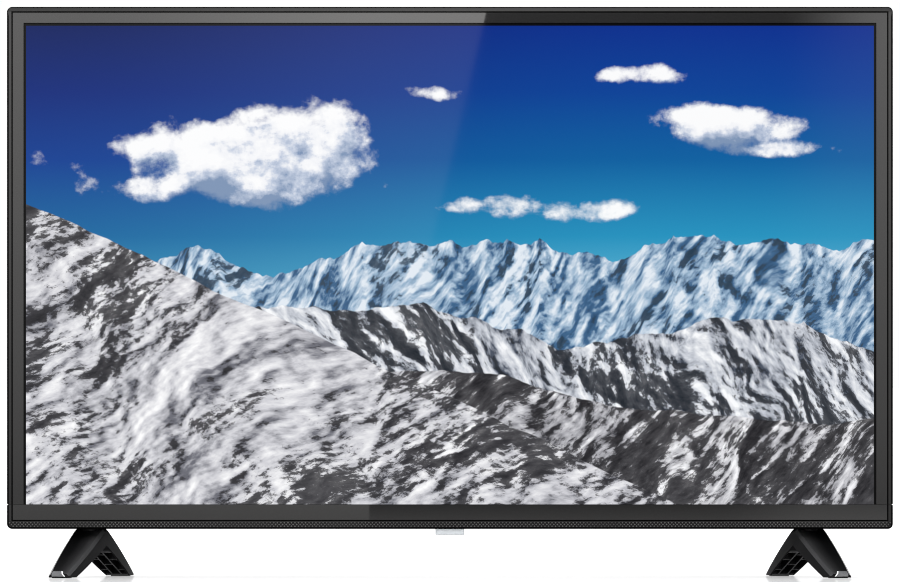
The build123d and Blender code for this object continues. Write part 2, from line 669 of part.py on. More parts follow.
with BuildPart() as rear_cover:
    with BuildSketch(at_y(RIM_Y)):
        soft_rect(-363.6, 363.6, 40.7, 468.5, CORNER_R)
    extrude(amount=RIM_Y - COVER_FRONT)
    with BuildSketch(at_y(RIM_Y)):
        soft_rect(-363.6, 363.6, 40.7, 468.5, CORNER_R)
    with BuildSketch(at_y(BACK_Y)):
        soft_rect(-345, 345, 41.5, 448, CORNER_R)
    loft()
    with BuildSketch(at_y(BACK_Y - 0.2)) as outline:
        housing(outline, 318.2, 42.4, 250.2, 4.5, 14)
    with BuildSketch(at_y(HOUSING_Y)) as outline:
        housing(outline, 290, 46, 224, 4.5, 14)
    loft()
    fillet(rear_cover.faces().sort_by(Axis.Y)[-1].edges(), 4)
    for x0, x1, z0, z1 in (SIDE_RECESS, LOW_RECESS):
        with BuildSketch(at_y(70)):
            rect(x0, x1, z0, z1)
        extrude(amount=70 - RECESS_Y, mode=Mode.SUBTRACT)
    add(cover_core.part, mode=Mode.SUBTRACT)
    # screw posts from the back wall to the backplane
    with BuildSketch(at_y(6.5)):
        with Locations(*COVER_SCREWS):
            Circle(4.2)
    extrude(amount=12.6)
    with BuildSketch(at_y(9)):
        with Locations(*COVER_SCREWS):
            Circle(1.7)
    extrude(amount=18, mode=Mode.SUBTRACT)
    with BuildSketch(at_y(9)):
        with Locations(*COVER_SCREWS):
            Circle(3.6)
    extrude(amount=9 - 5.4, mode=Mode.SUBTRACT)
    # wall mount bushes come through here
    with BuildSketch(at_y(9)):
        with Locations(*VESA_HOLES):
            Circle(5.3)
    extrude(amount=5, mode=Mode.SUBTRACT)
    # vents in the back of the housing
    with BuildSketch(at_y(50)):
        with GridLocations(8, 1, 48, 1):
            with Locations((-62, 192)):
                SlotOverall(26, 2.6, rotation=90)
        with GridLocations(8, 1, 20, 1):
            with Locations((-164, 118)):
                SlotOverall(26, 2.6, rotation=90)
    extrude(amount=6, mode=Mode.SUBTRACT)
    # vents near the top edge
    with BuildSketch(at_y(9)):
        with GridLocations(8, 1, 34, 1):
            with Locations((0, 410)):
                SlotOverall(18, 2.6, rotation=90)
    extrude(amount=5, mode=Mode.SUBTRACT)
    # sound slots under the speakers
    with BuildSketch(at_z(38)):
        for s in (-1, 1):
            with GridLocations(5, 1, 13, 1):
                with Locations((s * SPEAKER_X, SPEAKER_Y)):
                    SlotOverall(24, 2.0, rotation=90)
    extrude(amount=10, mode=Mode.SUBTRACT)
    # collars that take the feet
    for frame in foot_frames:
        with BuildSketch(frame.offset(41.2)):
            Rectangle(26, 21.6)
        extrude(amount=5.6)
        with BuildSketch(frame.offset(39)):
            Rectangle(22.6, 18.6)
        extrude(amount=9, mode=Mode.SUBTRACT)
    # socket openings in the recess walls
    with BuildSketch(at_x(186)):
        for z in HDMI_Z:
            with Locations((8.9, z)):
                Rectangle(7.0, 16.2)
        for z in USB_Z:
            rect(5.3, 12.5, z - 7.3, z + 7.3)
        with Locations((9.5, 194)):
            Circle(3.7)
    extrude(amount=6, mode=Mode.SUBTRACT)
    with BuildSketch(at_z(82)):
        for x in AV_X:
            with Locations((x, 12)):
                Circle(4.5)
        with Locations((115, 12)):
            Circle(5.2)
        rect(-55.4, -30.6, 5.2, 18.8)
    extrude(amount=6, mode=Mode.SUBTRACT)
    # key openings
    with BuildSketch(at_y(9)):
        with Locations(*[(KEY_X, KEY_Z0 + KEY_PITCH * i) for i in range(7)]):
            RectangleRounded(KEY_W + 0.5, KEY_H + 0.5, 1.4)
    extrude(amount=5, mode=Mode.SUBTRACT)
    # posts for the key board
    with BuildSketch(at_y(6.5)):
        with Locations((KEY_X, KEY_Z0 - 12), (KEY_X, KEY_Z0 + 6 * KEY_PITCH + 12)):
            Circle(3.0)
            Circle(1.0, mode=Mode.SUBTRACT)
    extrude(amount=6.5 - 0.75)
rear_cover.part.label = "rear_cover"
export_step(rear_cover.part, "parts/rear_cover.step")

with BuildPart() as vesa_bushes:
    with BuildSketch(at_y(BACK_Y)):
        with Locations(*VESA_HOLES):
            Circle(5.0)
            Circle(VESA_R, mode=Mode.SUBTRACT)
    extrude(amount=BACK_Y + 4)
    with BuildSketch(at_y(-4)):
        with Locations(*VESA_HOLES):
            Circle(5.0)
    extrude(amount=2.2)
vesa_bushes.part.label = "vesa_bushes"
export_step(vesa_bushes.part, "parts/vesa_bushes.step")

# ------------------------------------------------------------ keys on the back
KEY_NAMES = (
    "key_power",
    "key_source",
    "key_menu",
    "key_volume_down",
    "key_volume_up",
    "key_channel_down",
    "key_channel_up",
)
keys = []
for i, key_name in enumerate(KEY_NAMES):
    z = KEY_Z0 + KEY_PITCH * (6 - i)
    with BuildPart() as key:
        with BuildSketch(at_y(9.4)):
            with Locations((KEY_X, z)):
                RectangleRounded(KEY_W, KEY_H, 1.2)
        extrude(amount=4.0)
        fillet(key.faces().sort_by(Axis.Y)[-1].edges(), 0.5)
        # collar that stops the key behind the cover
        with BuildSketch(at_y(5.4)):
            with Locations((KEY_X, z)):
                Rectangle(KEY_W + 2.4, KEY_H + 2.0)
        extrude(amount=0.8)
        with BuildSketch(at_y(4.6)):
            with Locations((KEY_X, z)):
                Circle(1.6)
        extrude(amount=1.9)
    key.part.label = key_name
    export_step(key.part, "parts/" + key_name + ".step")
    keys.append(key)

with BuildPart() as key_board:
    with BuildSketch(at_y(0.7)):
        rect(KEY_X - 7, KEY_X + 7, KEY_Z0 - 16, KEY_Z0 + 6 * KEY_PITCH + 16)
        with Locations((KEY_X, KEY_Z0 - 12), (KEY_X, KEY_Z0 + 6 * KEY_PITCH + 12)):
            Circle(1.3, mode=Mode.SUBTRACT)
    extrude(amount=1.2)
key_board.part.label = "key_board"
export_step(key_board.part, "parts/key_board.step")

with BuildPart() as key_switches:
    for i in range(7):
        with BuildSketch(at_y(3.5)):
            with Locations((KEY_X, KEY_Z0 + KEY_PITCH * i)):
                Rectangle(6, 6)
        extrude(amount=2.8)
        with BuildSketch(at_y(3.5)):
            with Locations((KEY_X, KEY_Z0 + KEY_PITCH * i)):
                Circle(1.9)
        extrude(amount=2.0, mode=Mode.SUBTRACT)
key_switches.part.label = "key_switches"
export_step(key_switches.part, "parts/key_switches.step")

# ------------------------------------------------------------ speakers, facing down
BOX_Z0, BOX_Z1 = 50.0, 86.0
with BuildPart() as speaker_boxes:
    for s in (-1, 1):
        x = s * SPEAKER_X
        with BuildSketch(at_z(BOX_Z0)):
            with Locations((x, SPEAKER_Y)):
                RectangleRounded(76, 40.6, 3)
        extrude(amount=BOX_Z1 - BOX_Z0)
        with BuildSketch(at_z(BOX_Z0 + 2)):
            with Locations((x, SPEAKER_Y)):
                RectangleRounded(72, 36.6, 2)
        extrude(amount=BOX_Z1 - BOX_Z0 - 4, mode=Mode.SUBTRACT)
        with BuildSketch(at_z(BOX_Z0 - 1)):
            with Locations((x, SPEAKER_Y)):
                SlotOverall(69.0, 31.0)
        extrude(amount=4, mode=Mode.SUBTRACT)
        # ears with room for the rubber rings
        with BuildSketch(at_y(4.2)):
            rect(x - 45.6, x - 37.9, 73, 85)
            rect(x + 37.9, x + 45.6, 73, 85)
            with Locations((x - 41.8, 79), (x + 41.8, 79)):
                Circle(2.9, mode=Mode.SUBTRACT)
        extrude(amount=2.2)
        # block that the lead goes into
        with BuildSketch(at_z(78)):
            rect(s * 262 - 3, s * 262 + 3, -5.4, -2.6)
        extrude(amount=6)
speaker_boxes.part.label = "speaker_boxes"
export_step(speaker_boxes.part, "parts/speaker_boxes.step")

with BuildPart() as speaker_frames:
    for s in (-1, 1):
        x = s * SPEAKER_X
        with BuildSketch(at_z(48.6)):
            with Locations((x, SPEAKER_Y)):
                SlotOverall(73, 35)
                SlotOverall(64, 26, mode=Mode.SUBTRACT)
        extrude(amount=1.4)
        with BuildSketch(at_z(50.0)):
            with Locations((x, SPEAKER_Y)):
                SlotOverall(68, 30)
                SlotOverall(65, 27, mode=Mode.SUBTRACT)
        extrude(amount=6.0)
        with BuildSketch(at_z(56.0)):
            with Locations((x, SPEAKER_Y)):
                SlotOverall(68, 30)
                Circle(9.5, mode=Mode.SUBTRACT)
            with Locations((x - 21, SPEAKER_Y), (x + 21, SPEAKER_Y)):
                Circle(8, mode=Mode.SUBTRACT)
        extrude(amount=1.2)
speaker_frames.part.label = "speaker_frames"
export_step(speaker_frames.part, "parts/speaker_frames.step")

with BuildPart() as speaker_magnets:
    for s in (-1, 1):
        x = s * SPEAKER_X
        with BuildSketch(at_z(57.2)):
            with Locations((x, SPEAKER_Y)):
                Circle(12.5)
                Circle(8.4, mode=Mode.SUBTRACT)
        extrude(amount=9)
        with BuildSketch(at_z(66.2)):
            with Locations((x, SPEAKER_Y)):
                Circle(12.5)
        extrude(amount=2)
        with BuildSketch(at_z(58.5)):
            with Locations((x, SPEAKER_Y)):
                Circle(6.6)
        extrude(amount=7.7)
speaker_magnets.part.label = "speaker_magnets"
export_step(speaker_magnets.part, "parts/speaker_magnets.step")

with BuildPart() as speaker_surrounds:
    for s in (-1, 1):
        x = s * SPEAKER_X
        with BuildSketch(at_z(48.9)):
            with Locations((x, SPEAKER_Y)):
                SlotOverall(64, 26)
                SlotOverall(59.6, 21.6, mode=Mode.SUBTRACT)
        extrude(amount=0.7)
speaker_surrounds.part.label = "speaker_surrounds"
export_step(speaker_surrounds.part, "parts/speaker_surrounds.step")

cones = []
for s, cone_name in ((-1, "left_speaker_cone"), (1, "right_speaker_cone")):
    x = s * SPEAKER_X
    with BuildPart() as cone:
        with BuildSketch(at_z(48.9)):
            with Locations((x, SPEAKER_Y)):
                SlotOverall(59.0, 21.0)
                Circle(8.0, mode=Mode.SUBTRACT)
        extrude(amount=0.5)
        # voice coil former and dust cap
        with BuildSketch(at_z(48.9)):
            with Locations((x, SPEAKER_Y)):
                Circle(8.1)
                Circle(7.0, mode=Mode.SUBTRACT)
        extrude(amount=13)
        with BuildSketch(at_z(49.4)):
            with Locations((x, SPEAKER_Y)):
                Circle(7.2)
        extrude(amount=0.5)
    cone.part.label = cone_name
    export_step(cone.part, "parts/" + cone_name + ".step")
    cones.append(cone)

# ------------------------------------------------------------ feet
left_frame = foot_frames[0]
side_plane = Plane(
    origin=left_frame.origin,
    x_dir=left_frame.x_dir,
    z_dir=left_frame.x_dir.cross(Vector(0, 0, 1)),
)


def u_top(u):
    return 39.6 - (39.6 - 3.4) * (abs(u) - 4.6) / (FOOT_U - 4.6)


def u_low(u):
    return FOOT_APEX - 0.337 * abs(u)


def foot_outline(u, v_neck, v_toe):
    # foot seen from above: bowed sides between two square ends
    with BuildLine() as outline:
        ThreePointArc((-u, -v_toe), (0, -v_neck), (u, -v_toe))
        Line((u, -v_toe), (u, v_toe))
        ThreePointArc((u, v_toe), (0, v_neck), (-u, v_toe))
        Line((-u, v_toe), (-u, -v_toe))
    make_face(outline.edges())


with BuildPart() as left_toe_trim:
    # satin metal inlay that folds over the end of the front toe
    with BuildSketch(side_plane.offset(-5.8)):
        with BuildLine():
            Polyline(
                (91.35, 1.3),
                (91.35, 3.62),
                (86.5, 5.66),
                (86.0, 4.45),
                (90.0, 2.75),
                (90.0, 1.3),
                close=True,
            )
        make_face()
    extrude(amount=11.8)
    slant = Plane(
        origin=side_plane.origin, x_dir=side_plane.z_dir, z_dir=-side_plane.x_dir
    )
    with BuildSketch(slant.offset(-95)):
        with BuildLine():
            Polyline((-5.8, 1.0), (-9, 1.0), (-9, 7), (-1.4, 7), (-1.9, 5.7), close=True)
        make_face()
    extrude(amount=12, mode=Mode.SUBTRACT)

with BuildPart() as foot_cells:
    # hollow cells under both legs, in three staggered rows inside a thin wall
    for leg in (-1, 1):
        for v0, v1, cuts in (
            (-14, -4.6, (18, 35, 36.2, 60, 61.2, 71)),
            (-3.4, 3.4, (18, 23, 24.2, 47.5, 48.7, 71)),
            (4.6, 14, (18, 35, 36.2, 60, 61.2, 71)),
        ):
            for a, b in zip(cuts[0::2], cuts[1::2]):
                with BuildSketch(side_plane.offset(v0)):
                    with BuildLine():
                        Polyline(
                            (leg * a, u_low(a) - 4),
                            (leg * b, u_low(b) - 4),
                            (leg * b, u_top(b) - 2.6),
                            (leg * a, u_top(a) - 2.6),
                            close=True,
                        )
                    make_face()
                extrude(amount=v1 - v0)
    with BuildSketch(left_frame.offset(-5)):
        foot_outline(FOOT_U, FOOT_T0 / 2 - 1.4, FOOT_T1 / 2 - 1.4)
    extrude(amount=60, mode=Mode.INTERSECT)

with BuildPart() as left_foot:
    with BuildSketch(side_plane):
        with BuildLine():
            Polyline(
                (-4.6, 39.6),
                (4.6, 39.6),
                (FOOT_U, 3.4),
                (FOOT_U, 0.4),
                (75.1, 0.4),
                (0, FOOT_APEX),
                (-75.1, 0.4),
                (-FOOT_U, 0.4),
                (-FOOT_U, 3.4),
                close=True,
            )
        make_face()
    extrude(amount=14, both=True)
    # thicker at the neck than at the toes
    with BuildSketch(left_frame):
        foot_outline(92, FOOT_T0 / 2, FOOT_T1 / 2)
    extrude(amount=60, mode=Mode.INTERSECT)
    upper_edges = left_foot.edges().filter_by(
        lambda e: e.center().Z > 17 and abs((e @ 1 - e @ 0).dot(side_plane.z_dir)) < 6
    )
    chamfer(upper_edges, 2.2)
    toe_corners = left_foot.edges().filter_by(Axis.Z).filter_by(
        lambda e: e.center().Z < 4 and abs(e.center().Y) > 80
    )
    fillet(toe_corners, 2.0)
    add(foot_cells.part, mode=Mode.SUBTRACT)
    # neck: oval collar below the body, and the block that enters its socket
    with BuildSketch(left_frame.offset(37.9)):
        Ellipse(10.5, 8.0)
    extrude(amount=FOOT_TOP - 37.9)
    with BuildSketch(left_frame.offset(FOOT_TOP)):
        Rectangle(22, 18)
    extrude(amount=48 - FOOT_TOP)
    # screw holes from below
    with BuildSketch(left_frame.offset(10)):
        with Locations((0, -5.2), (0, 5.2)):
            Circle(2.2)
    extrude(amount=45, mode=Mode.SUBTRACT)
    with BuildSketch(left_frame.offset(10)):
        with Locations((0, -5.2), (0, 5.2)):
            Circle(4.0)
    extrude(amount=31.6 - 10, mode=Mode.SUBTRACT)
    # seats of the rubber pads and of the toe inlay
    with BuildSketch(left_frame):
        with Locations((82.5, 0), (-82.5, 0)):
            RectangleRounded(13, 14, 2)
    extrude(amount=1.8, mode=Mode.SUBTRACT)
    add(left_toe_trim.part, mode=Mode.SUBTRACT)
left_foot.part.label = "left_foot"
export_step(left_foot.part, "parts/left_foot.step")

with BuildPart() as right_foot:
    mirror(left_foot.part, about=Plane.YZ)
right_foot.part.label = "right_foot"
export_step(right_foot.part, "parts/right_foot.step")

with BuildPart() as toe_trims:
    add(left_toe_trim.part)
    mirror(left_toe_trim.part, about=Plane.YZ)
toe_trims.part.label = "toe_trims"
export_step(toe_trims.part, "parts/toe_trims.step")

with BuildPart() as foot_pads:
    for frame in foot_frames:
        with BuildSketch(frame):
            with Locations((82.5, 0), (-82.5, 0)):
                RectangleRounded(13, 14, 2)
        extrude(amount=1.8)
foot_pads.part.label = "foot_pads"
export_step(foot_pads.part, "parts/foot_pads.step")

with BuildPart() as stand_brackets:
    # steel angle on the backplane that the foot screws pull against
    for s, frame in zip((-1, 1), foot_frames):
        with BuildSketch(at_z(48.2)):
            rect(s * FOOT_X - 12, s * FOOT_X + 12, -13.5, 13.5)
        extrude(amount=2)
        with BuildSketch(at_y(-4.2)):
            rect(s * FOOT_X - 12, s * FOOT_X + 12, 50.2, 98)
        extrude(amount=1.9)
        with BuildSketch(frame.offset(50.2)):
            with Locations((0, -5.2), (0, 5.2)):
                Circle(3.6)
        extrude(amount=4)
        with BuildSketch(frame.offset(47)):
            with Locations((0, -5.2), (0, 5.2)):
                Circle(2.0)
        extrude(amount=9, mode=Mode.SUBTRACT)
stand_brackets.part.label = "stand_brackets"
export_step(stand_brackets.part, "parts/stand_brackets.step")

# ------------------------------------------------------------ fasteners
with BuildPart() as foot_screws:
    for frame in foot_frames:
        with BuildSketch(frame.offset(29.0)) as heads:
            with Locations((0, -5.2), (0, 5.2)):
                Circle(3.6)
        extrude(amount=2.6)
        with BuildSketch(frame.offset(28.5)):
            with Locations((0, -5.2), (0, 5.2)):
                Rectangle(4.2, 0.9)
                Rectangle(0.9, 4.2)
        extrude(amount=1.8, mode=Mode.SUBTRACT)
        with BuildSketch(frame.offset(31.6)):
            with Locations((0, -5.2), (0, 5.2)):
                Circle(2.0)
        extrude(amount=22)
foot_screws.part.label = "foot_screws"
export_step(foot_screws.part, "parts/foot_screws.step")

with BuildPart() as cover_screws:
    with BuildSketch(at_y(7.4)):
        with Locations(*COVER_SCREWS):
            Circle(3.2)
    extrude(amount=2.0)
    fillet(cover_screws.edges().group_by(Axis.Y)[-1], 0.8)
    with BuildSketch(at_y(7.6)):
        with Locations(*COVER_SCREWS):
            Rectangle(3.4, 0.8)
            Rectangle(0.8, 3.4)
    extrude(amount=1.6, mode=Mode.SUBTRACT)
    with BuildSketch(at_y(5.4)):
        with Locations(*COVER_SCREWS):
            Circle(1.5)
    extrude(amount=12.3)
cover_screws.part.label = "cover_screws"
export_step(cover_screws.part, "parts/cover_screws.step")

with BuildPart() as board_screws:
    with BuildSketch(at_y(BOARD_Y1 + 2.0)):
        with Locations(*BOARD_SCREWS):
            Circle(2.7)
    extrude(amount=2.0)
    with BuildSketch(at_y(BOARD_Y1)):
        with Locations(*BOARD_SCREWS):
            Circle(1.45)
    extrude(amount=6)
    # speaker ears, through rubber rings
    with BuildSketch(at_y(7.2)):
        with Locations(*SPEAKER_EARS):
            Circle(2.8)
    extrude(amount=1.6)
    with BuildSketch(at_y(5.6)):
        with Locations(*SPEAKER_EARS):
            Circle(1.45)
    extrude(amount=9)
    # key board
    with BuildSketch(at_y(-0.5)):
        with Locations((KEY_X, KEY_Z0 - 12), (KEY_X, KEY_Z0 + 6 * KEY_PITCH + 12)):
            Circle(2.0)
    extrude(amount=1.4)
    with BuildSketch(at_y(4.4)):
        with Locations((KEY_X, KEY_Z0 - 12), (KEY_X, KEY_Z0 + 6 * KEY_PITCH + 12)):
            Circle(1.0)
    extrude(amount=4.9)
board_screws.part.label = "board_screws"
export_step(board_screws.part, "parts/board_screws.step")

with BuildPart() as speaker_grommets:
    with BuildSketch(at_y(5.6)):
        with Locations(*SPEAKER_EARS):
            Circle(2.9)
            Circle(1.5, mode=Mode.SUBTRACT)
    extrude(amount=4.7)
speaker_grommets.part.label = "speaker_grommets"
export_step(speaker_grommets.part, "parts/speaker_grommets.step")

with BuildPart() as bezel_screws:
    with BuildSketch(at_y(-20.6)):
        with Locations(*BOSSES, *TOP_BOSSES, *LOW_BOSSES):
            Circle(1.9)
    extrude(amount=1.2)
    with BuildSketch(at_y(-21.8)):
        with Locations(*BOSSES, *TOP_BOSSES, *LOW_BOSSES):
            Circle(0.95)
    extrude(amount=5)
bezel_screws.part.label = "bezel_screws"
export_step(bezel_screws.part, "parts/bezel_screws.step")

# ------------------------------------------------------------ inner leads
SPEAKER_LINES = (
    (
        (138, 11.9, 206.5),
        (138, 19, 206.5),
        (138, 19, 217),
        (-236, 18, 216),
        (-236, 18, 86),
    ),
    (
        (146, 11.9, 206.5),
        (146, 18, 206.5),
        (146, 18, 222),
        (262, -3.9, 219),
        (262, -3.9, 84),
    ),
)
with BuildPart() as speaker_leads:
    for pts in SPEAKER_LINES:
        with BuildLine() as path:
            FilletPolyline(*pts, radius=[3.4, 3.4, 12])
        with BuildSketch(Plane(origin=path.line @ 0, z_dir=path.line % 0)):
            Circle(1.1)
        sweep(path=path.line)
speaker_leads.part.label = "speaker_leads"
export_step(speaker_leads.part, "parts/speaker_leads.step")

SIGNAL_LINES = (
    (  # receiver
        (0.8, [3, 6, 8, 10, 8]),
        (154, 2.1, 100),
        (154, 2.1, 97),
        (154, -3.4, 88.5),
        (154, -3.4, 46.6),
        (80, -16, 46.6),
        (40, -22, 46.6),
        (22, -22, 46.6),
    ),
    (  # keys
        (0.8, [4, 6, 10, 8, 3]),
        (118, 11.9, 206.5),
        (118, 25, 206.5),
        (118, 25, 226),
        (104, 1.5, 250),
        (-318, -2.5, 255),
        (-331, 0.1, 248),
        (-331, 0.1, 239),
    ),
    (  # backlight
        (1.0, [4, 8, 4]),
        (1, 11.9, 206.5),
        (1, 26, 206.5),
        (1, 26, 226),
        (1, 0, 243),
        (1, -6.2, 243),
    ),
)
with BuildPart() as signal_leads:
    for (r, bends), *pts in SIGNAL_LINES:
        with BuildLine() as path:
            FilletPolyline(*pts, radius=bends)
        with BuildSketch(Plane(origin=path.line @ 0, z_dir=path.line % 0)):
            Circle(r)
        sweep(path=path.line)
signal_leads.part.label = "signal_leads"
export_step(signal_leads.part, "parts/signal_leads.step")
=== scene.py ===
import json

import bmesh
import bpy
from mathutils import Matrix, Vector


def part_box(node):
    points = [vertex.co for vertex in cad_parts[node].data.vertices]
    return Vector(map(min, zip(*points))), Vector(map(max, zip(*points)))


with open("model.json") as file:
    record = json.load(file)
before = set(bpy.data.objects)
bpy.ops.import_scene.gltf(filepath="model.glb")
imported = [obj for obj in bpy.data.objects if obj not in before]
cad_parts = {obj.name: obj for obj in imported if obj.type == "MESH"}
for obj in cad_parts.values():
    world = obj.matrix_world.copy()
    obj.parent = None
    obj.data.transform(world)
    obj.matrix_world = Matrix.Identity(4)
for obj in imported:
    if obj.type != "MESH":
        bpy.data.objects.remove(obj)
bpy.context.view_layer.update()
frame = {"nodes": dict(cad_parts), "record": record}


# ------------------------------------------------------------ node helpers
class Val:
    """A float socket with plain arithmetic."""

    def __init__(self, net, sock):
        self.net, self.sock = net, sock

    def __add__(self, o):
        return self.net.math("ADD", self, o)

    __radd__ = __add__

    def __sub__(self, o):
        return self.net.math("SUBTRACT", self, o)

    def __rsub__(self, o):
        return self.net.math("SUBTRACT", o, self)

    def __mul__(self, o):
        return self.net.math("MULTIPLY", self, o)

    __rmul__ = __mul__

    def __truediv__(self, o):
        return self.net.math("DIVIDE", self, o)


class Net:
    """Builds a material's nodes from plain expressions."""

    def __init__(self, name):
        self.mat = bpy.data.materials.new(name)
        self.mat.use_nodes = True
        self.nt = self.mat.node_tree
        self.nt.nodes.clear()
        self.out = self.nt.nodes.new("ShaderNodeOutputMaterial")
        self.bsdf = self.nt.nodes.new("ShaderNodeBsdfPrincipled")
        self.nt.links.new(self.bsdf.outputs[0], self.out.inputs["Surface"])
        tex = self.nt.nodes.new("ShaderNodeTexCoord")
        self.pos = tex.outputs["Object"]
        xyz = self.nt.nodes.new("ShaderNodeSeparateXYZ")
        self.nt.links.new(self.pos, xyz.inputs[0])
        self.x, self.y, self.z = (Val(self, xyz.outputs[i]) for i in range(3))

    def facing(self, direction):
        """How nearly the surface faces a fixed direction of the row frame, 1 when exactly."""
        geo = self.nt.nodes.new("ShaderNodeNewGeometry")
        n = self.nt.nodes.new("ShaderNodeVectorMath")
        n.operation = "DOT_PRODUCT"
        self.nt.links.new(geo.outputs["True Normal"], n.inputs[0])
        n.inputs[1].default_value = Vector(direction).normalized()
        return Val(self, n.outputs["Value"])

    def put(self, sock, v):
        if isinstance(v, Val):
            self.nt.links.new(v.sock, sock)
        elif isinstance(v, bpy.types.NodeSocket):
            self.nt.links.new(v, sock)
        elif v is not None:
            sock.default_value = v

    def math(self, op, *args, clamp=False):
        n = self.nt.nodes.new("ShaderNodeMath")
        n.operation, n.use_clamp = op, clamp
        for s, a in zip(n.inputs, args):
            self.put(s, a)
        return Val(self, n.outputs[0])

    def range(self, v, lo, hi, a=0.0, b=1.0, how="LINEAR"):
        n = self.nt.nodes.new("ShaderNodeMapRange")
        n.interpolation_type = how
        for s, w in zip(n.inputs, (v, lo, hi, a, b)):
            self.put(s, w)
        return Val(self, n.outputs[0])

    def line(self, v, lo, hi, a=0.0, b=1.0):
        return self.range(v, lo, hi, a, b)

    def step(self, v, lo, hi, a=0.0, b=1.0):
        return self.range(v, lo, hi, a, b, "SMOOTHSTEP")

    def vec(self, x=0.0, y=0.0, z=0.0):
        n = self.nt.nodes.new("ShaderNodeCombineXYZ")
        for s, a in zip(n.inputs, (x, y, z)):
            self.put(s, a)
        return n.outputs[0]

    def noise(self, v, scale=5.0, detail=4.0, rough=0.5, kind="FBM", warp=0.0):
        n = self.nt.nodes.new("ShaderNodeTexNoise")
        n.noise_dimensions = "3D"
        n.noise_type = kind
        self.put(n.inputs["Vector"], v)
        for key, a in (("Scale", scale), ("Detail", detail), ("Roughness", rough), ("Distortion", warp)):
            self.put(n.inputs[key], a)
        return Val(self, n.outputs[0])

    def cells(self, v, scale=5.0, feature="F1", jitter=1.0):
        n = self.nt.nodes.new("ShaderNodeTexVoronoi")
        n.feature = feature
        self.put(n.inputs["Vector"], v)
        self.put(n.inputs["Scale"], scale)
        self.put(n.inputs["Randomness"], jitter)
        return Val(self, n.outputs["Distance"])

    def ramp(self, fac, stops, how="LINEAR"):
        n = self.nt.nodes.new("ShaderNodeValToRGB")
        n.color_ramp.interpolation = how
        e = n.color_ramp.elements
        while len(e) < len(stops):
            e.new(0.5)
        for el, (p, c) in zip(e, stops):
            el.position = p
            el.color = (*c, 1.0)
        self.put(n.inputs[0], fac)
        return n.outputs[0]

    def mix(self, fac, a, b, how="MIX"):
        n = self.nt.nodes.new("ShaderNodeMix")
        n.data_type, n.blend_type = "RGBA", how
        n.clamp_factor = True
        for s, w in ((n.inputs[0], fac), (n.inputs[6], a), (n.inputs[7], b)):
            self.put(s, (*w[:3], 1.0) if isinstance(w, tuple) else w)
        return n.outputs[2]

    def bump(self, height, depth, strength=1.0, below=None):
        n = self.nt.nodes.new("ShaderNodeBump")
        self.put(n.inputs["Height"], height)
        n.inputs["Distance"].default_value = depth
        n.inputs["Strength"].default_value = strength
        if below is not None:
            self.put(n.inputs["Normal"], below)
        return n.outputs[0]

    def set(self, **values):
        for key, v in values.items():
            self.put(self.bsdf.inputs[key.replace("_", " ")], (*v, 1.0) if isinstance(v, tuple) else v)
        return self.mat


def srgb(r, g, b):
    def f(c):
        return c / 12.92 if c <= 0.04045 else ((c + 0.055) / 1.055) ** 2.4

    return tuple(f(c / 255.0) for c in (r, g, b))


def scaled(c, k):
    return tuple(min(1.0, v * k) for v in c)


# ------------------------------------------------------------ materials
def moulded(name, col, rough=0.42, grain=1600.0, depth=0.00002, spread=0.12, level=0.5):
    """Moulded plastic: fine spark grain, faint flow marks and rubbed spots."""
    k = Net(name)
    fine = k.noise(k.pos, grain, 3.0, 0.6)
    flow = k.noise(k.pos, 14.0, 4.0, 0.55, warp=0.6)
    rub = k.noise(k.pos, 55.0, 5.0, 0.65)
    tone = fine * 0.35 + flow * 0.65
    base = k.ramp(tone, [(0.25, scaled(col, 1 - spread)), (0.75, scaled(col, 1 + spread))])
    r = k.line(rub * 0.6 + flow * 0.4, 0.3, 0.7, rough - 0.06, rough + 0.06)
    k.set(Base_Color=base, Roughness=r, Normal=k.bump(fine, depth))
    k.bsdf.inputs["Specular IOR Level"].default_value = level
    return k.mat


def metal(name, col, rough=0.32, along="x", pitch=2600.0, depth=0.000012, spread=0.1):
    """Rolled or brushed metal with fine lines along one axis and duller patches."""
    k = Net(name)
    stretch = {"x": (0.04, 1, 1), "y": (1, 0.04, 1), "z": (1, 1, 0.04)}[along]
    lines = k.noise(k.vec(k.x * stretch[0], k.y * stretch[1], k.z * stretch[2]), pitch, 3.0, 0.6)
    cloud = k.noise(k.pos, 38.0, 4.0, 0.6)
    base = k.ramp(lines * 0.5 + cloud * 0.5, [(0.3, scaled(col, 1 - spread)), (0.7, scaled(col, 1 + spread))])
    k.set(
        Base_Color=base,
        Metallic=1.0,
        Roughness=k.line(cloud, 0.3, 0.7, rough - 0.07, rough + 0.09),
        Normal=k.bump(lines, depth),
    )
    return k.mat


def rubber(name, col, rough=0.75):
    k = Net(name)
    fine = k.noise(k.pos, 1400.0, 4.0, 0.65)
    dust = k.noise(k.pos, 120.0, 4.0, 0.6)
    base = k.mix(k.step(dust, 0.52, 0.75) * 0.25, col, scaled(col, 2.4))
    k.set(Base_Color=base, Roughness=k.line(fine, 0.3, 0.7, rough - 0.08, rough + 0.08), Normal=k.bump(fine, 0.00005))
    k.bsdf.inputs["Specular IOR Level"].default_value = 0.3
    return k.mat


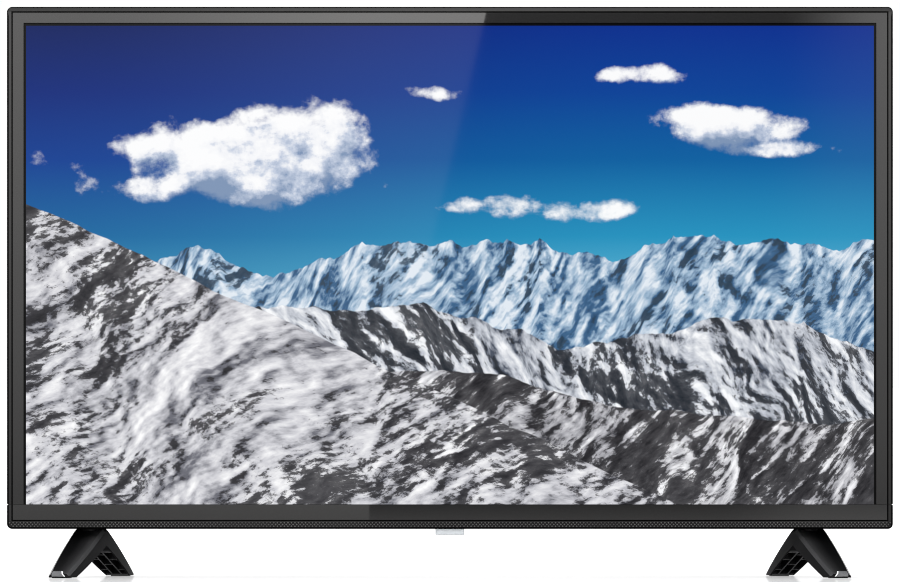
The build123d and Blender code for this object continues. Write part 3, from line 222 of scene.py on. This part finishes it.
def circuit(name):
    """Green solder mask over copper tracks and pads."""
    k = Net(name)
    p = k.vec(k.x, k.z, k.y)
    cell = k.cells(p, 190.0, "F1", 0.85)
    tracks = k.noise(k.vec(k.x * 260, k.z * 30, 0.0), 1.0, 2.0, 0.5)
    tracks2 = k.noise(k.vec(k.x * 30, k.z * 260, 4.0), 1.0, 2.0, 0.5)
    on = k.step(k.math("MAXIMUM", tracks, tracks2), 0.58, 0.62)
    pad = k.step(cell, 0.26, 0.2)
    base = k.mix(on, srgb(12, 74, 36), srgb(26, 104, 52))
    base = k.mix(pad, base, srgb(196, 190, 176))
    k.set(Base_Color=base, Roughness=k.line(on, 0, 1, 0.42, 0.3), Metallic=pad, Normal=k.bump(on * 0.5 + pad, 0.00005))
    return k.mat


def sheet_film(name, col, rough=0.4):
    k = Net(name)
    wave = k.noise(k.vec(k.x * 9, k.y, k.z * 9), 1.0, 4.0, 0.5)
    fine = k.noise(k.pos, 900.0, 3.0, 0.6)
    base = k.ramp(wave * 0.6 + fine * 0.4, [(0.3, scaled(col, 0.93)), (0.7, scaled(col, 1.04))])
    k.set(Base_Color=base, Roughness=k.line(fine, 0.3, 0.7, rough - 0.05, rough + 0.05), Normal=k.bump(fine, 0.00001))
    return k.mat


def bezel(name, weave=False):
    """Dark plastic of the front with a clear gloss on its flat faces. The groove and the outer rounding stay matt, with
    a near-black base that is painted shade. The trim's lower band has a very fine pressed lattice.
    """
    k = Net(name)
    fine = k.noise(k.pos, 2600.0, 2.0, 0.5)
    flow = k.noise(k.vec(k.x * 4.0, k.y * 9.0, k.z * 9.0), 1.0, 4.0, 0.55, warp=0.4)
    smear = k.noise(k.pos, 22.0, 5.0, 0.6)
    # distance inwards from the body's rounded outline
    qx = k.math("ABSOLUTE", k.x) - (0.3645 - 0.0042)
    qz = k.math("ABSOLUTE", k.z - 0.2546) - (0.2148 - 0.0042)
    px, pz = k.math("MAXIMUM", qx, 0.0), k.math("MAXIMUM", qz, 0.0)
    inset = 0.0042 - k.math("SQRT", px * px + pz * pz) - k.math("MINIMUM", k.math("MAXIMUM", qx, qz), 0.0)
    dark = k.line(k.z, 0.4615, 0.4665, 0.0, 0.0007)  # the painted shade along the edge is thinner along the top
    face = k.step(k.y, -0.02972, -0.02992) * k.step(inset + dark, 0.0013, 0.0017)
    base = k.ramp(fine * 0.3 + flow * 0.7, [(0.3, srgb(9, 9, 10)), (0.7, srgb(13, 13, 14))])
    gloss = face
    rough = k.line(smear, 0.3, 0.7, 0.30, 0.38)
    normal = k.bump(fine, 0.0000012)
    if weave:
        # crossing diagonals with a small raised knot at each meeting, stronger in patches
        a = k.math("PINGPONG", (k.x + k.z) * 345.0, 0.5)
        b = k.math("PINGPONG", (k.x - k.z) * 345.0, 0.5)
        knot = k.step(k.math("MINIMUM", a, b), 0.18, 0.34)
        patch = k.step(k.noise(k.vec(k.x * 14.0, 0.0, 3.0), 1.0, 2.0, 0.5), 0.38, 0.60)
        band = k.step(k.z, 0.0459, 0.0456) * k.step(k.z, 0.0406, 0.0410) * k.step(inset, 0.0013, 0.0017)
        on = (0.45 + patch * 0.55) * band
        base = k.mix(knot * on, base, srgb(84, 83, 82))
        gloss = face * (1.0 - on * 0.62)
        normal = k.bump(knot * on, 0.00003, 1.0, normal)
    # painted shade: the groove and the outer rounding get a near-black base instead of the plastic's own colour
    base = k.mix(face, srgb(3, 3, 3), base)
    k.set(Base_Color=base, Roughness=rough, Normal=normal, Coat_Weight=gloss)
    k.bsdf.inputs["Specular IOR Level"].default_value = 0.04
    k.bsdf.inputs["Coat Roughness"].default_value = 0.03
    k.bsdf.inputs["Coat IOR"].default_value = 1.5
    return k.mat


def window_plastic(name):
    """Pale translucent window of the receiver, lighter towards its top."""
    k = Net(name)
    fine = k.noise(k.pos, 900.0, 3.0, 0.5)
    body = k.noise(k.pos, 140.0, 3.0, 0.5)
    up = k.line(k.z, 0.0349, 0.0398, 0.0, 1.0)
    edge = k.math("MAXIMUM", k.step(k.math("ABSOLUTE", k.x), 0.0108, 0.0116), k.step(k.z, 0.0356, 0.0350))
    base = k.mix(up, srgb(186, 190, 194), srgb(200, 204, 207))
    base = k.mix(edge * 0.85, base, srgb(146, 150, 154))
    base = k.mix(k.step(body, 0.4, 0.7) * 0.12, base, srgb(176, 180, 184))
    k.set(
        Base_Color=base,
        Roughness=k.line(fine, 0.3, 0.7, 0.18, 0.28),
        Normal=k.bump(fine, 0.000004),
    )
    k.bsdf.inputs["Subsurface Weight"].default_value = 0.25
    k.bsdf.inputs["Subsurface Radius"].default_value = (0.004, 0.004, 0.004)
    k.bsdf.inputs["Subsurface Scale"].default_value = 0.5
    return k.mat


FOOT_X, FOOT_SIN, FOOT_COS = 0.2955, 0.28067, 0.95981  # place and turn of the feet


def foot_gloss(name):
    """Dark polished plastic of the feet with hairline marks. Its base carries painted light: a painted reflection
    greying from dark towards the bevels, painted highlights on the bevels and on the ribs underneath, and an inner side
    painted lighter.
    """
    k = Net(name)
    fine = k.noise(k.pos, 2200.0, 2.0, 0.5)
    marks = k.noise(k.vec(k.x * 60.0, k.y * 4.0, k.z * 60.0), 1.0, 4.0, 0.65)
    # place across the leg, positive on the side that looks at the other foot, and along it
    ax = k.math("ABSOLUTE", k.x)
    across = (FOOT_X - ax) * FOOT_COS - k.y * FOOT_SIN
    along = (ax - FOOT_X) * FOOT_SIN - k.y * FOOT_COS
    half = 0.0134 - along * along * (0.0046 / 0.092 ** 2)
    up = k.facing((0, 0, 1))
    top = k.step(up, 0.80, 0.86)
    inner_side = k.step(up, 0.4, 0.1) * k.step(up, -0.4, -0.1) * k.step(across, 0.004, 0.008)
    under = k.step(up, -0.55, -0.75) * k.step(half - k.math("ABSOLUTE", across), 0.0012, 0.0017) * k.step(k.z, 0.0222, 0.0196)
    bevel = None
    for s in (-1, 1):
        for front in (-1, 1):
            n_top = Vector((s * 0.108 * front, -0.370 * front, 0.922))
            inner = Vector((-s * FOOT_COS, -FOOT_SIN, 0))
            m = k.step(k.facing(n_top.normalized() + inner), 0.965, 0.985)
            bevel = m if bevel is None else k.math("MAXIMUM", bevel, m)
    shade = k.line(across, half * -1.0, half - 0.0022, 0.0, 1.0)
    # painted reflection: the top faces' base greys from dark towards the bevel, with a lighter line at the outer edge
    painted_sheen = k.ramp(shade, [(0.0, srgb(20, 20, 21)), (0.10, srgb(9, 9, 10)), (0.45, srgb(11, 11, 12)), (0.75, srgb(32, 32, 33)), (1.0, srgb(55, 55, 56))])
    base = k.ramp(marks * 0.6 + fine * 0.4, [(0.3, srgb(12, 12, 13)), (0.7, srgb(15, 15, 16))])
    # painted shading: the inner side face gets a lighter base than the rest of the foot
    base = k.mix(inner_side, base, srgb(26, 26, 27))
    base = k.mix(top, base, painted_sheen)
    # painted highlight: the bevel faces get a grey base standing in for the lit chamfer stripe
    base = k.mix(bevel, base, srgb(60, 60, 61))
    # painted glints: the ribs underneath get a lighter, patchy base below about 20 mm
    base = k.mix(under * (0.2 + k.noise(k.pos, 230.0, 3.0, 0.6) * 1.1), base, srgb(92, 92, 93))
    coat = 0.22 - top * 0.22 + top * shade * 0.16 + bevel * 0.04
    k.set(Base_Color=base, Roughness=k.line(marks, 0.3, 0.7, 0.30, 0.40), Coat_Weight=coat, Normal=k.bump(fine, 0.0000012))
    k.bsdf.inputs["Specular IOR Level"].default_value = 0.05
    k.bsdf.inputs["Coat Roughness"].default_value = 0.14
    k.bsdf.inputs["Coat IOR"].default_value = 1.5
    return k.mat


def toe_metal(name):
    """Satin silver strip with fine level lines and a painted highlight along its inner edge."""
    k = Net(name)
    lines = k.math("PINGPONG", k.z * 1150.0, 0.5) * 2.0
    grain = k.noise(k.vec(k.x, k.y, k.z * 12.0), 900.0, 3.0, 0.6)
    tone = lines * 0.6 + grain * 0.4
    across = (FOOT_X - k.math("ABSOLUTE", k.x)) * FOOT_COS - k.y * FOOT_SIN
    # painted highlight: a near-white, less metallic line along the inner edge
    painted_edge_glint = k.step(across + (k.z - 0.0010) * 0.83, 0.0046, 0.0049)
    base = k.ramp(tone, [(0.25, srgb(92, 93, 95)), (0.75, srgb(150, 151, 153))])
    base = k.mix(painted_edge_glint, base, srgb(250, 250, 250))
    k.set(Base_Color=base, Roughness=k.line(grain, 0.3, 0.7, 0.26, 0.38), Normal=k.bump(tone, 0.00002), Metallic=0.45 - painted_edge_glint * 0.3)
    return k.mat


def av_plastic(name):
    """Black socket block whose three barrels carry the usual colours."""
    k = Net(name)
    fine = k.noise(k.pos, 1500.0, 3.0, 0.6)
    low = k.step(k.z, 0.0846, 0.0843)
    col = k.ramp(
        k.line(k.x, 0.017, 0.071),
        [(0.0, srgb(196, 158, 22)), (0.334, srgb(206, 204, 198)), (0.667, srgb(168, 24, 22))],
        "CONSTANT",
    )
    d = None
    for x in (0.026, 0.044, 0.062):
        a, b = k.x - x, k.y - 0.012
        r = k.math("SQRT", a * a + b * b)
        d = r if d is None else k.math("MINIMUM", d, r)
    ring = low * k.step(d, 0.0026, 0.0028)
    inner = k.step(d, 0.0027, 0.0025)
    base = k.mix(ring, srgb(16, 16, 17), col)
    base = k.mix(inner * low, base, srgb(214, 200, 160))
    k.set(
        Base_Color=base,
        Metallic=inner * low,
        Roughness=k.line(fine, 0.3, 0.7, 0.3, 0.42),
        Normal=k.bump(fine, 0.00001),
    )
    return k.mat


def transformer_mat(name):
    k = Net(name)
    fine = k.noise(k.pos, 700.0, 4.0, 0.6)
    tape = k.step(k.math("ABSOLUTE", k.z - (0.5 * (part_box("transformer")[0][2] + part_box("transformer")[1][2]))), 0.009, 0.0085)
    base = k.mix(tape, srgb(44, 44, 47), srgb(196, 164, 40))
    base = k.mix(k.step(fine, 0.5, 0.7) * 0.2, base, srgb(20, 20, 20))
    k.set(Base_Color=base, Roughness=k.line(fine, 0.3, 0.7, 0.45, 0.65), Normal=k.bump(fine, 0.00003))
    return k.mat


# ------------------------------------------------------------ the picture on the screen
PIC_X, PIC_Z0, PIC_Z1 = 0.34885, 0.0600, 0.4539


def picture(k):
    """A generic winter upland under a blue sky, of this script's own layout."""
    s = k.x / 0.394  # across, in picture heights
    v = k.line(k.z, PIC_Z0, PIC_Z1)  # up, 0 to 1

    sky_l = k.ramp(
        v,
        [
            (0.42, srgb(60, 150, 186)),
            (0.56, srgb(22, 104, 160)),
            (0.72, srgb(2, 62, 146)),
            (0.86, srgb(1, 40, 122)),
            (1.0, srgb(1, 28, 94)),
        ],
    )
    sky_r = k.ramp(
        v,
        [
            (0.42, srgb(96, 186, 216)),
            (0.56, srgb(36, 146, 190)),
            (0.72, srgb(4, 96, 160)),
            (0.86, srgb(1, 66, 152)),
            (1.0, srgb(1, 46, 142)),
        ],
    )
    sky = k.mix(k.step(s, -0.9, 0.5), sky_l, sky_r)

    def cloud(ox, oy):
        a, b = s + ox, v + oy
        big = k.noise(k.vec(a, b * 1.25, 0.0), 3.1, 7.0, 0.56, warp=0.15)
        puff = k.noise(k.vec(a, b * 1.1, 3.7), 9.5, 6.0, 0.6)
        d = None
        for cx, cy, rx, ry, w in (
            (-0.47, 0.715, 0.34, 0.085, 1.0),
            (-0.30, 0.775, 0.16, 0.075, 0.9),
            (-0.60, 0.67, 0.2, 0.04, 0.75),
            (0.18, 0.62, 0.17, 0.032, 0.72),
            (0.62, 0.79, 0.15, 0.045, 0.85),
            (0.72, 0.745, 0.12, 0.02, 0.66),
            (0.40, 0.90, 0.09, 0.02, 0.55),
            (-0.05, 0.86, 0.07, 0.016, 0.52),
        ):
            ex, ey = (a - cx) / rx, (b - cy) / ry
            e = (1.0 - (ex * ex + ey * ey)) * w
            d = e if d is None else k.math("SMOOTH_MAX", d, e, 0.25)
        d = k.math("MAXIMUM", d, -2.5)
        return d * 0.42 + (big - 0.5) * 2.1 + (puff - 0.5) * 1.15

    d0, d1 = cloud(0.0, 0.0), cloud(-0.018, 0.030)
    lit = k.line(d0 - d1, -0.22, 0.20)
    white = k.ramp(
        lit,
        [(0.0, srgb(128, 150, 182)), (0.42, srgb(196, 206, 224)), (0.72, srgb(246, 247, 250)), (1.0, srgb(255, 255, 255))],
    )
    col = k.mix(k.step(d0, 0.02, 0.30) * 0.96, sky, white)

    def fold(a, b, seed, detail):
        """Sharp crested relief: bright lines where the ground folds."""
        n = k.noise(k.vec(a, b, seed), 1.0, detail, 0.52)
        return 1.0 - k.math("ABSOLUTE", (n - 0.5) * 2.6)

    def hill(under, h, freq, seed, lean, stops, rocks, haze, haze_col, strength):
        t = h - v
        bend = k.noise(k.vec(s * 1.7, t * 1.4, seed), 1.0, 3.0, 0.5) - 0.5
        run = s + t * lean + bend * 0.30  # ribs run down from the crest, leaning and bending

        def ground(dx, dy):
            a, b = (run + dx) * freq, (t + dy) * freq
            return fold(a, b * 0.55, seed, 8.0) + fold(a * 2.7 + 5.0, b * 1.9, seed + 4.0, 8.0) * 0.42

        slope = ground(0.005, -0.003) - ground(-0.005, 0.003)
        light = k.line(slope * strength + 0.52, 0.0, 1.0)
        shade = k.ramp(light, stops)
        grit = k.noise(k.vec(run * 1.3, t, seed), 62.0, 6.0, 0.72)
        patch = k.noise(k.vec(run, t * 0.7, seed + 1.0), 5.5, 7.0, 0.6)
        bare = k.step(patch * 0.8 + grit * 0.5 - light * 0.42, rocks, rocks + 0.07)
        rock = k.ramp(grit * 0.7 + light * 0.3, [(0.3, srgb(14, 14, 18)), (0.55, srgb(52, 51, 54)), (0.8, srgb(120, 118, 120))])
        shade = k.mix(bare * 0.92, shade, rock)
        if haze:
            shade = k.mix(haze, shade, haze_col)
        return k.mix(k.step(t, 0.0, 0.003), under, shade)

    def crest(base, amp, freq, seed, lean):
        return base + s * lean + (fold(s * freq, 0.0, seed, 6.0) - 0.55) * amp

    col = hill(
        col, crest(0.455, 0.22, 1.9, 2.0, 0.02), 4.6, 11.0, 0.5,
        [(0.0, srgb(22, 42, 74)), (0.36, srgb(58, 92, 130)), (0.56, srgb(164, 188, 210)), (0.8, srgb(240, 245, 250))],
        0.50, 0.14, srgb(88, 146, 190), 2.7,
    )
    col = hill(
        col, crest(0.345, 0.17, 1.5, 7.3, -0.05), 3.7, 23.0, -0.5,
        [(0.0, srgb(20, 22, 32)), (0.36, srgb(78, 84, 98)), (0.56, srgb(196, 200, 209)), (0.8, srgb(252, 253, 255))],
        0.43, 0.03, srgb(110, 150, 180), 2.5,
    )
    col = hill(
        col, crest(0.225, 0.13, 1.1, 15.9, -0.10), 3.1, 31.0, 0.7,
        [(0.0, srgb(16, 16, 21)), (0.36, srgb(66, 66, 72)), (0.56, srgb(176, 176, 182)), (0.8, srgb(248, 248, 251))],
        0.36, 0.0, None, 2.4,
    )
    col = hill(
        col, crest(0.205, 0.05, 1.4, 44.0, -0.46), 3.3, 52.0, 0.95,
        [(0.0, srgb(40, 41, 49)), (0.36, srgb(112, 113, 122)), (0.56, srgb(206, 206, 212)), (0.8, srgb(254, 254, 255))],
        0.43, 0.0, None, 2.0,
    )
    return col


def screen(name):
    """The panel: picture area lit from within, black glass border round it."""
    k = Net(name)
    col = picture(k)
    inside = (
        k.step(k.math("ABSOLUTE", k.x), PIC_X + 0.00012, PIC_X - 0.00012)
        * k.step(k.z, PIC_Z1 + 0.00012, PIC_Z1 - 0.00012)
        * k.step(k.z, PIC_Z0 - 0.00012, PIC_Z0 + 0.00012)
        * k.step(k.y, -0.0270, -0.0275)
    )
    fine = k.noise(k.pos, 2400.0, 2.0, 0.5)
    smear = k.noise(k.pos, 9.0, 5.0, 0.6)
    lit = k.mix(inside, (0.0, 0.0, 0.0), col)
    k.set(
        Base_Color=k.ramp(fine, [(0.3, srgb(5, 5, 6)), (0.7, srgb(9, 9, 10))]),
        Roughness=k.line(smear, 0.3, 0.7, 0.05, 0.09),
        Emission_Color=lit,
    )
    k.bsdf.inputs["Emission Strength"].default_value = 1.0
    k.bsdf.inputs["Specular IOR Level"].default_value = 0.07
    return k.mat


MATERIALS = {
    "bezel_plastic": bezel("bezel_plastic"),
    "trim_plastic": bezel("trim_plastic", weave=True),
    "window_plastic": window_plastic("window_plastic"),
    "screen_glass": screen("screen_glass"),
    "gasket_foam": rubber("gasket_foam", srgb(14, 14, 14), 0.85),
    "frame_plastic": moulded("frame_plastic", srgb(24, 24, 24), 0.55),
    "film_plastic": sheet_film("film_plastic", srgb(226, 228, 230), 0.22),
    "diffuser_plastic": sheet_film("diffuser_plastic", srgb(236, 236, 236), 0.5),
    "reflector_plastic": sheet_film("reflector_plastic", srgb(242, 242, 242), 0.6),
    "led_board": metal("led_board", srgb(222, 224, 226), 0.45),
    "lens_plastic": sheet_film("lens_plastic", srgb(232, 236, 238), 0.12),
    "sheet_steel": metal("sheet_steel", srgb(176, 178, 180), 0.38),
    "circuit_board": circuit("circuit_board"),
    "flex_film": sheet_film("flex_film", srgb(186, 110, 34), 0.3),
    "insulation_film": sheet_film("insulation_film", srgb(26, 26, 27), 0.45),
    "chip_black": moulded("chip_black", srgb(18, 18, 19), 0.5),
    "heat_sink_metal": metal("heat_sink_metal", srgb(168, 170, 172), 0.42, "z"),
    "capacitor_sleeve": moulded("capacitor_sleeve", srgb(24, 28, 52), 0.3, 900.0),
    "transformer_core": transformer_mat("transformer_core"),
    "connector_white": moulded("connector_white", srgb(226, 222, 208), 0.4),
    "socket_metal": metal("socket_metal", srgb(190, 190, 192), 0.28),
    "jack_black": moulded("jack_black", srgb(17, 17, 17), 0.38),
    "av_plastic": av_plastic("av_plastic"),
    "plate_steel": metal("plate_steel", srgb(150, 151, 153), 0.36),
    "cover_plastic": moulded("cover_plastic", srgb(27, 27, 28), 0.56, 1100.0, 0.00009, 0.16, 0.4),
    "bush_metal": metal("bush_metal", srgb(196, 158, 92), 0.3, "y"),
    "key_plastic": moulded("key_plastic", srgb(36, 36, 38), 0.36, 1800.0, 0.00001),
    "switch_metal": metal("switch_metal", srgb(180, 180, 182), 0.3),
    "speaker_plastic": moulded("speaker_plastic", srgb(22, 22, 22), 0.5),
    "magnet_metal": metal("magnet_metal", srgb(70, 71, 74), 0.4, "z"),
    "surround_rubber": rubber("surround_rubber", srgb(16, 16, 17)),
    "cone_paper": moulded("cone_paper", srgb(40, 39, 38), 0.8, 700.0, 0.0001, 0.25),
    "grommet_rubber": rubber("grommet_rubber", srgb(30, 30, 31)),
    "foot_plastic": foot_gloss("foot_plastic"),
    "toe_trim_metal": toe_metal("toe_trim_metal"),
    "pad_rubber": rubber("pad_rubber", srgb(24, 24, 25)),
    "screw_metal": metal("screw_metal", srgb(62, 62, 65), 0.34, "y"),
    "bright_screw_metal": metal("bright_screw_metal", srgb(186, 188, 190), 0.3),
    "lead_sleeve": rubber("lead_sleeve", srgb(22, 22, 23), 0.5),
}
for row in frame["record"]["subparts"]:
    obj = frame["nodes"][row["node"]]
    obj.data.materials.clear()
    obj.data.materials.append(MATERIALS[row["material_slot"]])


# ------------------------------------------------------------ stage
def sheet_mesh(name, corners, mat, cuts=1):
    """A flat grid between four corners, used for the floor and the light cards."""
    me = bpy.data.meshes.new(name)
    bm = bmesh.new()
    a, b, c, d = (Vector(p) for p in corners)
    grid = []
    for j in range(cuts + 1):
        v = j / cuts
        grid.append([bm.verts.new(a.lerp(b, i / cuts).lerp(d.lerp(c, i / cuts), v)) for i in range(cuts + 1)])
    for j in range(cuts):
        for i in range(cuts):
            bm.faces.new((grid[j][i], grid[j][i + 1], grid[j + 1][i + 1], grid[j + 1][i]))
    bm.to_mesh(me)
    bm.free()
    me.materials.append(mat)
    ob = bpy.data.objects.new(name, me)
    bpy.context.scene.collection.objects.link(ob)
    return ob


def glow_only(k, col, strength):
    em = k.nt.nodes.new("ShaderNodeEmission")
    k.put(em.inputs[0], (*col, 1.0) if isinstance(col, tuple) else col)
    k.put(em.inputs[1], strength)
    k.nt.nodes.remove(k.bsdf)
    k.nt.links.new(em.outputs[0], k.out.inputs["Surface"])
    return k.mat


# pale floor: bright, a little glossy near the set
k = Net("stage_floor")
far = k.step(k.math("SQRT", k.x * k.x + k.y * k.y), 0.55, 1.6)
speck = k.noise(k.pos, 300.0, 3.0, 0.5)
dif = k.nt.nodes.new("ShaderNodeBsdfDiffuse")
k.put(dif.inputs[0], k.ramp(speck, [(0.3, (0.40, 0.40, 0.40)), (0.7, (0.44, 0.44, 0.44))]))
em = k.nt.nodes.new("ShaderNodeEmission")
em.inputs[0].default_value = (1, 1, 1, 1)
k.put(em.inputs[1], k.line(far, 0.0, 1.0, 0.74, 1.0))
add = k.nt.nodes.new("ShaderNodeAddShader")
k.nt.links.new(dif.outputs[0], add.inputs[0])
k.nt.links.new(em.outputs[0], add.inputs[1])
gl = k.nt.nodes.new("ShaderNodeBsdfGlossy")
gl.inputs["Roughness"].default_value = 0.05
mx = k.nt.nodes.new("ShaderNodeMixShader")
k.put(mx.inputs[0], k.line(far, 0.0, 1.0, 0.54, 0.0))
k.nt.links.new(add.outputs[0], mx.inputs[1])
k.nt.links.new(gl.outputs[0], mx.inputs[2])
k.nt.nodes.remove(k.bsdf)
k.nt.links.new(mx.outputs[0], k.out.inputs["Surface"])
floor = sheet_mesh("stage_floor", ((-40, -40, 0), (40, -40, 0), (40, 40, 0), (-40, 40, 0)), k.mat, 8)
floor.visible_glossy = False

# card seen only as the gloss on the front: bright left of a slanting edge, a soft band at the right
k = Net("stage_card")
GAP = 1.0 + (0.33 - 0.030) / 20.57  # how much larger the card's picture is than its image on the front
cx = k.x / GAP
cz = (k.z - 0.2356) / GAP + 0.2356
up = k.line(cz, 0.045, 0.465)
edge_x = k.line(cz, 0.0595, 0.4652, -0.0664, 0.0299)
side = k.line(up, 0.0, 1.0, 0.041, 0.121)
middle = k.step(cx, -0.32, -0.05) * k.line(up, 0.0, 1.0, 0.12, 0.62)
left_l = side * (1.0 + middle)
start = k.line(up, 0.0, 1.0, 0.215, 0.270)
right_band = k.step(cx, start, start + 0.092)
low_lift = k.line(cz, 0.0595, 0.046, 0.0, 0.018) * k.step(cz, 0.0610, 0.0600)
right_l = 0.0215 + right_band * (side * 0.90 - 0.0195) + low_lift
is_left = k.step(cx - edge_x, 0.0003, -0.0003)
level = right_l + is_left * (left_l - right_l)
# the rim outside the groove: evenly lit along the top, duller at the left
rim_top = k.step(cz, 0.46500, 0.46535)
rim_l = k.step(cx, -0.36010, -0.36045)
rim_r = k.step(cx, 0.36010, 0.36045)
top_l = k.step(cx, -0.34, -0.06, 0.056, 0.080) - k.step(cx, 0.05, 0.34, 0.0, 0.024)
level = level + rim_l * (side * 0.76 - level)
level = level + rim_r * (side * 0.74 - level)
level = level + rim_top * (top_l - level)
strip = k.step(cz, 0.0602, 0.0600)
level = level * (1.0 + strip * (is_left * 0.20 + 0.06))
low_band = k.step(cz, 0.0462, 0.0459)
level = level * (1.0 - low_band * 0.42)
glow_only(k, (1.0, 0.985, 0.97), (level - 0.004) * 24.0)
CARD_Y = -0.33
card = sheet_mesh("stage_card", ((-0.40, CARD_Y, 0.030), (0.40, CARD_Y, 0.030), (0.40, CARD_Y, 0.50), (-0.40, CARD_Y, 0.50)), k.mat)
card.visible_camera = False
card.visible_diffuse = False
card.visible_shadow = False
card.visible_transmission = False

# world: white to the eye, dim in reflections
world = bpy.data.worlds.new("stage_world")
bpy.context.scene.world = world
world.use_nodes = True
wt = world.node_tree
wt.nodes.clear()
wout = wt.nodes.new("ShaderNodeOutputWorld")
path = wt.nodes.new("ShaderNodeLightPath")
seen = wt.nodes.new("ShaderNodeBackground")
seen.inputs[0].default_value = (1, 1, 1, 1)
seen.inputs[1].default_value = 1.0
soft = wt.nodes.new("ShaderNodeBackground")
coord = wt.nodes.new("ShaderNodeTexCoord")
parts = wt.nodes.new("ShaderNodeSeparateXYZ")
wt.links.new(coord.outputs["Generated"], parts.inputs[0])
wr = wt.nodes.new("ShaderNodeValToRGB")
wr.color_ramp.elements[0].position = 0.48
wr.color_ramp.elements[0].color = (0.035, 0.035, 0.036, 1)
wr.color_ramp.elements[1].position = 0.95
wr.color_ramp.elements[1].color = (0.75, 0.75, 0.76, 1)
mr = wt.nodes.new("ShaderNodeMapRange")
mr.inputs[1].default_value = -1.0
mr.inputs[2].default_value = 1.0
wt.links.new(parts.outputs[2], mr.inputs[0])
wt.links.new(mr.outputs[0], wr.inputs[0])
wt.links.new(wr.outputs[0], soft.inputs[0])
soft.inputs[1].default_value = 1.0
# a bright low strip far behind the set, which the floor mirrors
parts_n = []
for sock, lo, hi in ((parts.outputs[1], 0.90, 0.97), (parts.outputs[2], 0.22, 0.10), (parts.outputs[2], -0.02, -0.005)):
    st = wt.nodes.new("ShaderNodeMapRange")
    st.interpolation_type = "SMOOTHSTEP"
    st.inputs[1].default_value, st.inputs[2].default_value = lo, hi
    wt.links.new(sock, st.inputs[0])
    parts_n.append(st.outputs[0])
strip_n = parts_n[0]
for o in parts_n[1:]:
    mu = wt.nodes.new("ShaderNodeMath")
    mu.operation = "MULTIPLY"
    wt.links.new(strip_n, mu.inputs[0])
    wt.links.new(o, mu.inputs[1])
    strip_n = mu.outputs[0]
lit_strip = wt.nodes.new("ShaderNodeMix")
lit_strip.data_type = "RGBA"
wt.links.new(strip_n, lit_strip.inputs[0])
wt.links.new(wr.outputs[0], lit_strip.inputs[6])
lit_strip.inputs[7].default_value = (1, 1, 1, 1)
wt.links.new(lit_strip.outputs[2], soft.inputs[0])
wmix = wt.nodes.new("ShaderNodeMixShader")
wt.links.new(path.outputs["Is Camera Ray"], wmix.inputs[0])
wt.links.new(soft.outputs[0], wmix.inputs[1])
wt.links.new(seen.outputs[0], wmix.inputs[2])
wt.links.new(wmix.outputs[0], wout.inputs[0])


def softbox(name, at, aim, size, watts, glossy=True):
    data = bpy.data.lights.new(name, "AREA")
    data.shape = "RECTANGLE"
    data.size, data.size_y = size
    data.energy = watts
    ob = bpy.data.objects.new(name, data)
    bpy.context.scene.collection.objects.link(ob)
    ob.location = at
    ob.rotation_euler = (Vector(aim) - Vector(at)).to_track_quat("-Z", "Y").to_euler()
    ob.visible_glossy = glossy
    return ob


softbox("key", (-1.6, -2.6, 2.2), (0, 0, 0.2), (1.6, 1.2), 60)
softbox("fill", (2.2, -2.2, 1.2), (0, 0, 0.2), (1.4, 1.6), 16)
softbox("top", (0, 0.4, 2.6), (0, 0, 0.1), (2.4, 1.6), 60)
softbox("low_front", (0, -2.6, 0.35), (0, 0, 0.03), (3.2, 0.4), 26, glossy=False)
softbox("back_left", (-1.8, 2.6, 1.6), (0, 0, 0.2), (1.4, 1.6), 70)
softbox("back_right", (1.8, 2.6, 1.3), (0, 0, 0.2), (1.4, 1.6), 50)

# ------------------------------------------------------------ camera
cam_data = bpy.data.cameras.new("camera")
cam_data.type = "PERSP"
cam_data.sensor_width = 36.0
cam_data.lens = 1000.0
cam = bpy.data.objects.new("camera", cam_data)
bpy.context.scene.collection.objects.link(cam)
FRONT_Y = -0.030
WIDE = 900 * 0.0008229
cam.location = (0.00006, FRONT_Y - cam_data.lens * WIDE / 36.0, 0.2356)
cam.rotation_euler = (1.5707963, 0, 0)
cam_data.clip_start, cam_data.clip_end = 0.1, 80.0
bpy.context.scene.camera = cam

bpy.context.scene.view_settings.view_transform = "Standard"
bpy.context.scene.view_settings.look = "None"
bpy.context.scene.view_settings.exposure = 0.0
bpy.context.scene.cycles.filter_width = 1.0
